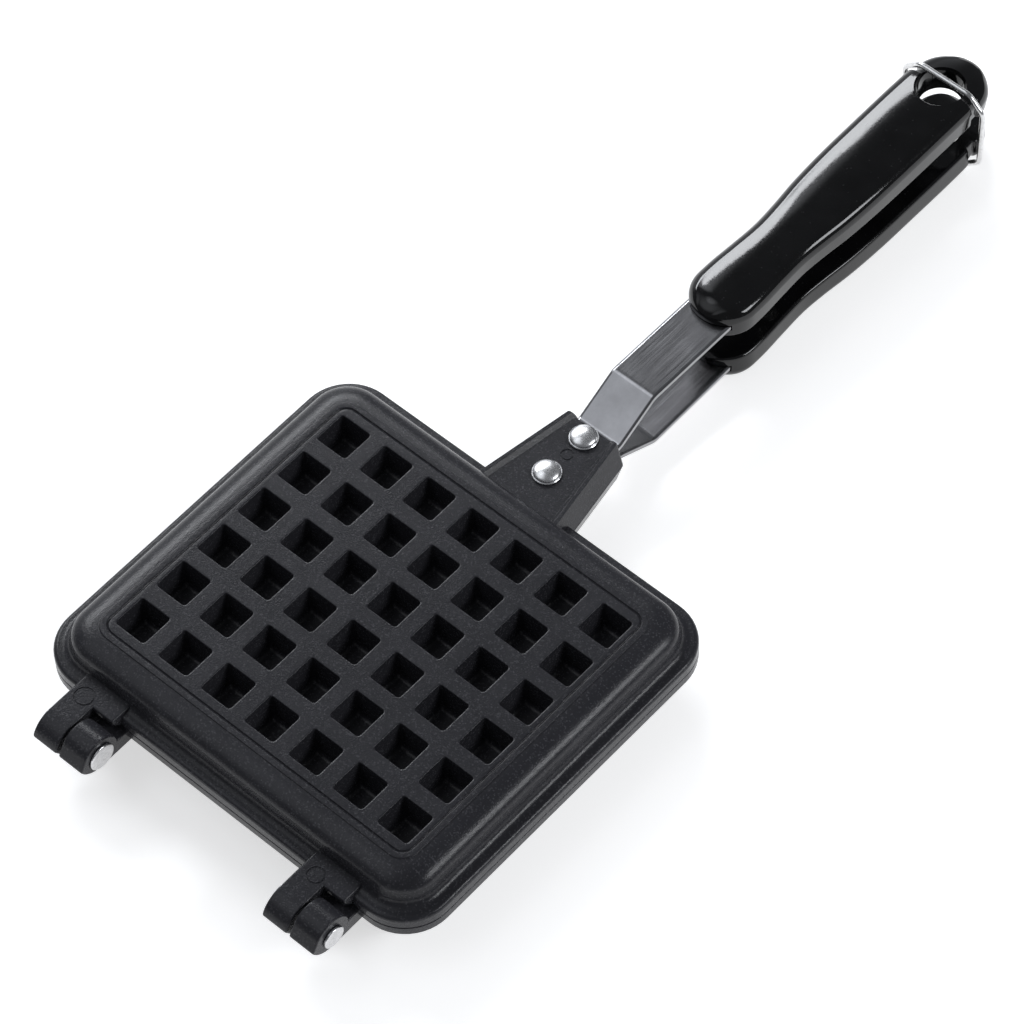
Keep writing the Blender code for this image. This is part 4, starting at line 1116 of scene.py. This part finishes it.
def coating_material():
    """Black non-stick coating on cast aluminium: a dull sheen, a fine grain and small pale flecks."""
    made = new_material("black_coating", COATING_FLAT, 0.24, 0.0, Specular_IOR_Level=0.23)
    points = object_points(made)
    tone = remap(made, noise(made, points, per_metre=45.0, detail=3.0))
    base = mix_colors(made, tone, COATING_DARK, COATING_PALE)
    flecks = remap(made, cells(made, points, per_metre=2300.0), old=(0.80, 1.0))
    color = mix_colors(made, flecks, base, COATING_FLECK)
    grain = noise(made, points, per_metre=2000.0, rough=0.6)
    rough = remap(made, noise(made, points, per_metre=1100.0), new=(0.20, 0.26))
    link_shader(made, Base_Color=color, Roughness=rough)
    bump(made, [(noise(made, points, per_metre=500.0), 0.06, 0.0003), (grain, 0.38, 0.0002)])
    return made


def steel_material(name, color, roughness, brushed):
    """Rolled steel with fine lines along its length and faint smears."""
    made = new_material(name, color, roughness, 1.0)
    stretched = object_points(made, (2400.0, 40.0, 2400.0))
    lines = noise(made, stretched, per_metre=1.0, detail=3.0, rough=0.6)
    smears = noise(made, object_points(made), per_metre=90.0, detail=3.0)
    link_shader(
        made,
        Base_Color=mix_colors(made, remap(made, smears), shade(color, 0.88), shade(color, 1.14)),
        Roughness=remap(made, lines, old=(0.25, 0.75), new=(roughness - 0.05, roughness + 0.07)),
    )
    bump(made, [(lines, brushed, 0.00004), (smears, 0.05, 0.0004)])
    return made


def polished_material(name, color, roughness, dents):
    """Bright metal with shallow dents and fine scratches."""
    made = new_material(name, color, roughness, 1.0)
    points = object_points(made)
    dent = noise(made, points, per_metre=420.0, detail=1.0)
    fine = noise(made, points, per_metre=3200.0)
    dulled = remap(made, noise(made, points, per_metre=900.0), old=(0.35, 0.75))
    link_shader(
        made,
        Base_Color=mix_colors(made, dulled, color, shade(color, 0.84)),
        Roughness=remap(made, fine, new=(roughness - 0.04, roughness + 0.08)),
    )
    bump(made, [(dent, dents, 0.0004), (fine, 0.06, 0.00005)])
    return made


def bakelite_material():
    """Glossy black moulded grip, with the slight waviness of the moulding and faint dust in the gloss."""
    made = new_material("black_bakelite", BAKELITE_FLAT, 0.08, 0.0, Specular_IOR_Level=0.40)
    points = object_points(made)
    wave = noise(made, points, per_metre=55.0, detail=1.0)
    fine = noise(made, points, per_metre=1800.0)
    specks = remap(made, cells(made, points, per_metre=2400.0), old=(0.990, 1.0))
    tone = remap(made, noise(made, points, per_metre=120.0))
    base = mix_colors(made, tone, BAKELITE_DARK, BAKELITE_PALE)
    link_shader(
        made,
        Base_Color=mix_colors(made, specks, base, BAKELITE_DUST),
        Roughness=remap(made, fine, new=(0.055, 0.115)),
    )
    bump(made, [(wave, 0.10, 0.0004), (fine, 0.08, 0.00006)])
    return made


# Placing

HALF_PLACES = {
    "upper": Matrix.Translation((0.0, 0.0, PLATE_HEIGHT)),
    "lower": Matrix.Translation((0.0, 0.0, PLATE_HEIGHT)) @ Matrix.Rotation(math.pi, 4, "Y"),
}


def dress(node, mesh, place, finish, body):
    """Puts one finished piece in its CAD node's place."""
    own = mesh.copy()
    own.name = node + "_look"
    own.transform(place)
    own.materials.clear()
    own.materials.append(finish)
    item = new_object(node + "_look", own)
    weights = item.modifiers.new("weighted_normals", "WEIGHTED_NORMAL")
    weights.keep_sharp = True
    weights.weight = 80
    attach(item, body)
    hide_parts(node)


def build_iron():
    """Every piece of both halves, the pins and the ring."""
    coating = coating_material()
    steel = steel_material("strap_steel", STRAP_STEEL, roughness=0.18, brushed=0.07)
    aluminium = polished_material("rivet_aluminium", RIVET_ALUMINIUM, roughness=0.25, dents=0.06)
    pin_steel = polished_material("pin_steel", PIN_STEEL, roughness=0.26, dents=0.35)
    bakelite = bakelite_material()
    zinc = polished_material("screw_zinc", SCREW_ZINC, roughness=0.34, dents=0.10)
    wire = polished_material("ring_wire", RING_WIRE, roughness=0.22, dents=0.10)

    plate = plate_mesh()
    strap = strap_mesh()
    rivet = rivet_mesh()
    grip = grip_mesh()
    screw = screw_mesh()
    for half, place in HALF_PLACES.items():
        body = half + "_half"
        dress(half + "_plate", plate, place, coating, body)
        dress(half + "_strap", strap, place, steel, body)
        for which, y in RIVET_PLACES:
            spot = place @ Matrix.Translation((0.0, y, 0.0))
            dress(half + "_rivet_" + which, rivet, spot, aluminium, body)
        dress(half + "_grip", grip, place, bakelite, body)
        spot = place @ Matrix.Translation((0.0, SCREW_Y, 0.0))
        dress(half + "_grip_screw", screw, spot, zinc, body)

    for side, sign, head_share in (("left", -1.0, 1.0), ("right", 1.0, PIN_RIGHT_HEAD_SHARE)):
        pin = pin_mesh(head_share * PIN_HEAD_HEIGHT)
        place = Matrix.Translation((sign * 0.5 * HINGE_SPACING, HINGE_Y, PLATE_HEIGHT))
        if side == "right":
            place = place @ Matrix.Rotation(math.pi, 4, "Z")
        dress("hinge_pin_" + side, pin, place, pin_steel, PIN_BODY)

    place = Matrix.Translation((0.0, NECK_Y, PLATE_HEIGHT - RING_DROP))
    dress("latch_ring", ring_mesh(), place, wire, "latch")

# Studio

# Each lamp's name, direction in degrees as seen from the iron, size in metres and power in watts
LAMP_DISTANCE = 1.6
LAMP_COLOR = (0.95, 0.97, 1.0)
LAMPS = (
    ("right_softbox", 111.0, 34.5, (0.68, 0.46), 11.0),
    ("left_softbox", -115.0, 39.0, (1.20, 0.25), 13.5),
)
STUDIO_MIDDLE = (0.0, 0.12, 0.02)

# The room's paler parts: direction in degrees, inner and outer reach in degrees, and strength
ROOM_COLOR = (0.92, 0.95, 1.0)
ROOM_DIM = 0.15
ROOM_GLOWS = (
    (-45.0, 57.0, 4.0, 28.0, 1.00),
    (-115.0, 10.0, 12.0, 45.0, 0.80),
    (-121.0, 45.0, 1.0, 11.0, 1.7),
    (-88.0, 67.0, 2.0, 11.0, 1.2),
)

FLOOR_HALF = 4.0
FLOOR_GAP = 0.0005
FLOOR_GLOW = 0.60

# The photograph's view, solved from the middles of the pits and points on the hinges and handles
CAMERA_LENS = 171.48895
CAMERA_PLACE = (0.59697015, -0.55367013, 1.26637226)
CAMERA_AXES = (
    (0.74689301, 0.66430341, -0.02918577),
    (-0.53536474, 0.62679688, 0.56613626),
    (0.3943798, -0.40721819, 0.82379483),
)


def toward(azimuth, elevation):
    """The direction at an azimuth, with 0 along -Y and 90 along +X, and an elevation, in degrees."""
    a = math.radians(azimuth)
    e = math.radians(elevation)
    return Vector((math.sin(a) * math.cos(e), -math.cos(a) * math.cos(e), math.sin(e)))


def add_light(name, place, target, size, power):
    """A soft rectangular lamp that looks at a point."""
    lamp = bpy.data.lights.new(name, "AREA")
    lamp.shape = "RECTANGLE"
    lamp.size, lamp.size_y = size
    lamp.energy = power
    lamp.color = LAMP_COLOR
    item = new_object(name, lamp)
    item.location = place
    item.rotation_euler = (target - place).to_track_quat("-Z", "Y").to_euler()


def build_room():
    """A dim room with a few paler parts, mixed by the direction that is looked in."""
    world = bpy.data.worlds.new("room")
    world.use_nodes = True
    facing = add_node(world, "ShaderNodeTexCoord").outputs["Generated"]
    total = None
    for azimuth, elevation, inner, outer, strength in ROOM_GLOWS:
        dot = add_node(world, "ShaderNodeVectorMath", operation="DOT_PRODUCT")
        dot.inputs[1].default_value = toward(azimuth, elevation)
        link(world, facing, dot.inputs[0])
        edge = (math.cos(math.radians(outer)), math.cos(math.radians(inner)))
        strengths = (0.0 if total else ROOM_DIM, strength)
        glow = remap(world, dot.outputs["Value"], edge, strengths, "SMOOTHSTEP")
        if total:
            both = add_node(world, "ShaderNodeMath", operation="ADD")
            link(world, total, both.inputs[0])
            link(world, glow, both.inputs[1])
            total = both.outputs["Value"]
        else:
            total = glow
    background = world.node_tree.nodes["Background"].inputs
    background["Color"].default_value = (*ROOM_COLOR, 1.0)
    link(world, total, background["Strength"])
    bpy.context.scene.world = world


def build_floor():
    """A plain pale floor just under the iron's lowest point, which glows a little."""
    bm = bmesh.new()
    z = cad_box[0][2] - FLOOR_GAP
    size = FLOOR_HALF
    corners = ((-size, -size), (size, -size), (size, size), (-size, size))
    bm.faces.new([bm.verts.new((*corner, z)) for corner in corners])
    mesh = bpy.data.meshes.new("floor")
    bm.to_mesh(mesh)
    bm.free()
    floor = new_object("floor", mesh)
    paper = new_material("floor_paper", FLOOR_PAPER, 0.9, 0.0)
    sockets = paper.node_tree.nodes["Principled BSDF"].inputs
    sockets["Emission Color"].default_value = (1.0, 1.0, 1.0, 1.0)
    sockets["Emission Strength"].default_value = FLOOR_GLOW
    mesh.materials.append(paper)
    floor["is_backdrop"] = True


def build_studio():
    """The room, the floor and the lamps."""
    build_room()
    bpy.context.scene.view_settings.view_transform = "Standard"
    bpy.context.scene.view_settings.look = "None"
    build_floor()
    middle = Vector(STUDIO_MIDDLE)
    for name, azimuth, elevation, size, power in LAMPS:
        add_light(name, middle + LAMP_DISTANCE * toward(azimuth, elevation), middle, size, power)


def build_camera():
    """The camera, from the solved lens, place and axes."""
    data = bpy.data.cameras.new("camera")
    data.sensor_width = 36.0
    data.sensor_fit = "HORIZONTAL"
    data.lens = CAMERA_LENS
    data.clip_start = 0.05
    data.clip_end = 20.0
    item = new_object("camera", data)
    item.matrix_world = Matrix.Translation(CAMERA_PLACE) @ Matrix(CAMERA_AXES).transposed().to_4x4()
    bpy.context.scene.camera = item


build_iron()
build_studio()
build_camera()
low_corner, high_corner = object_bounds()
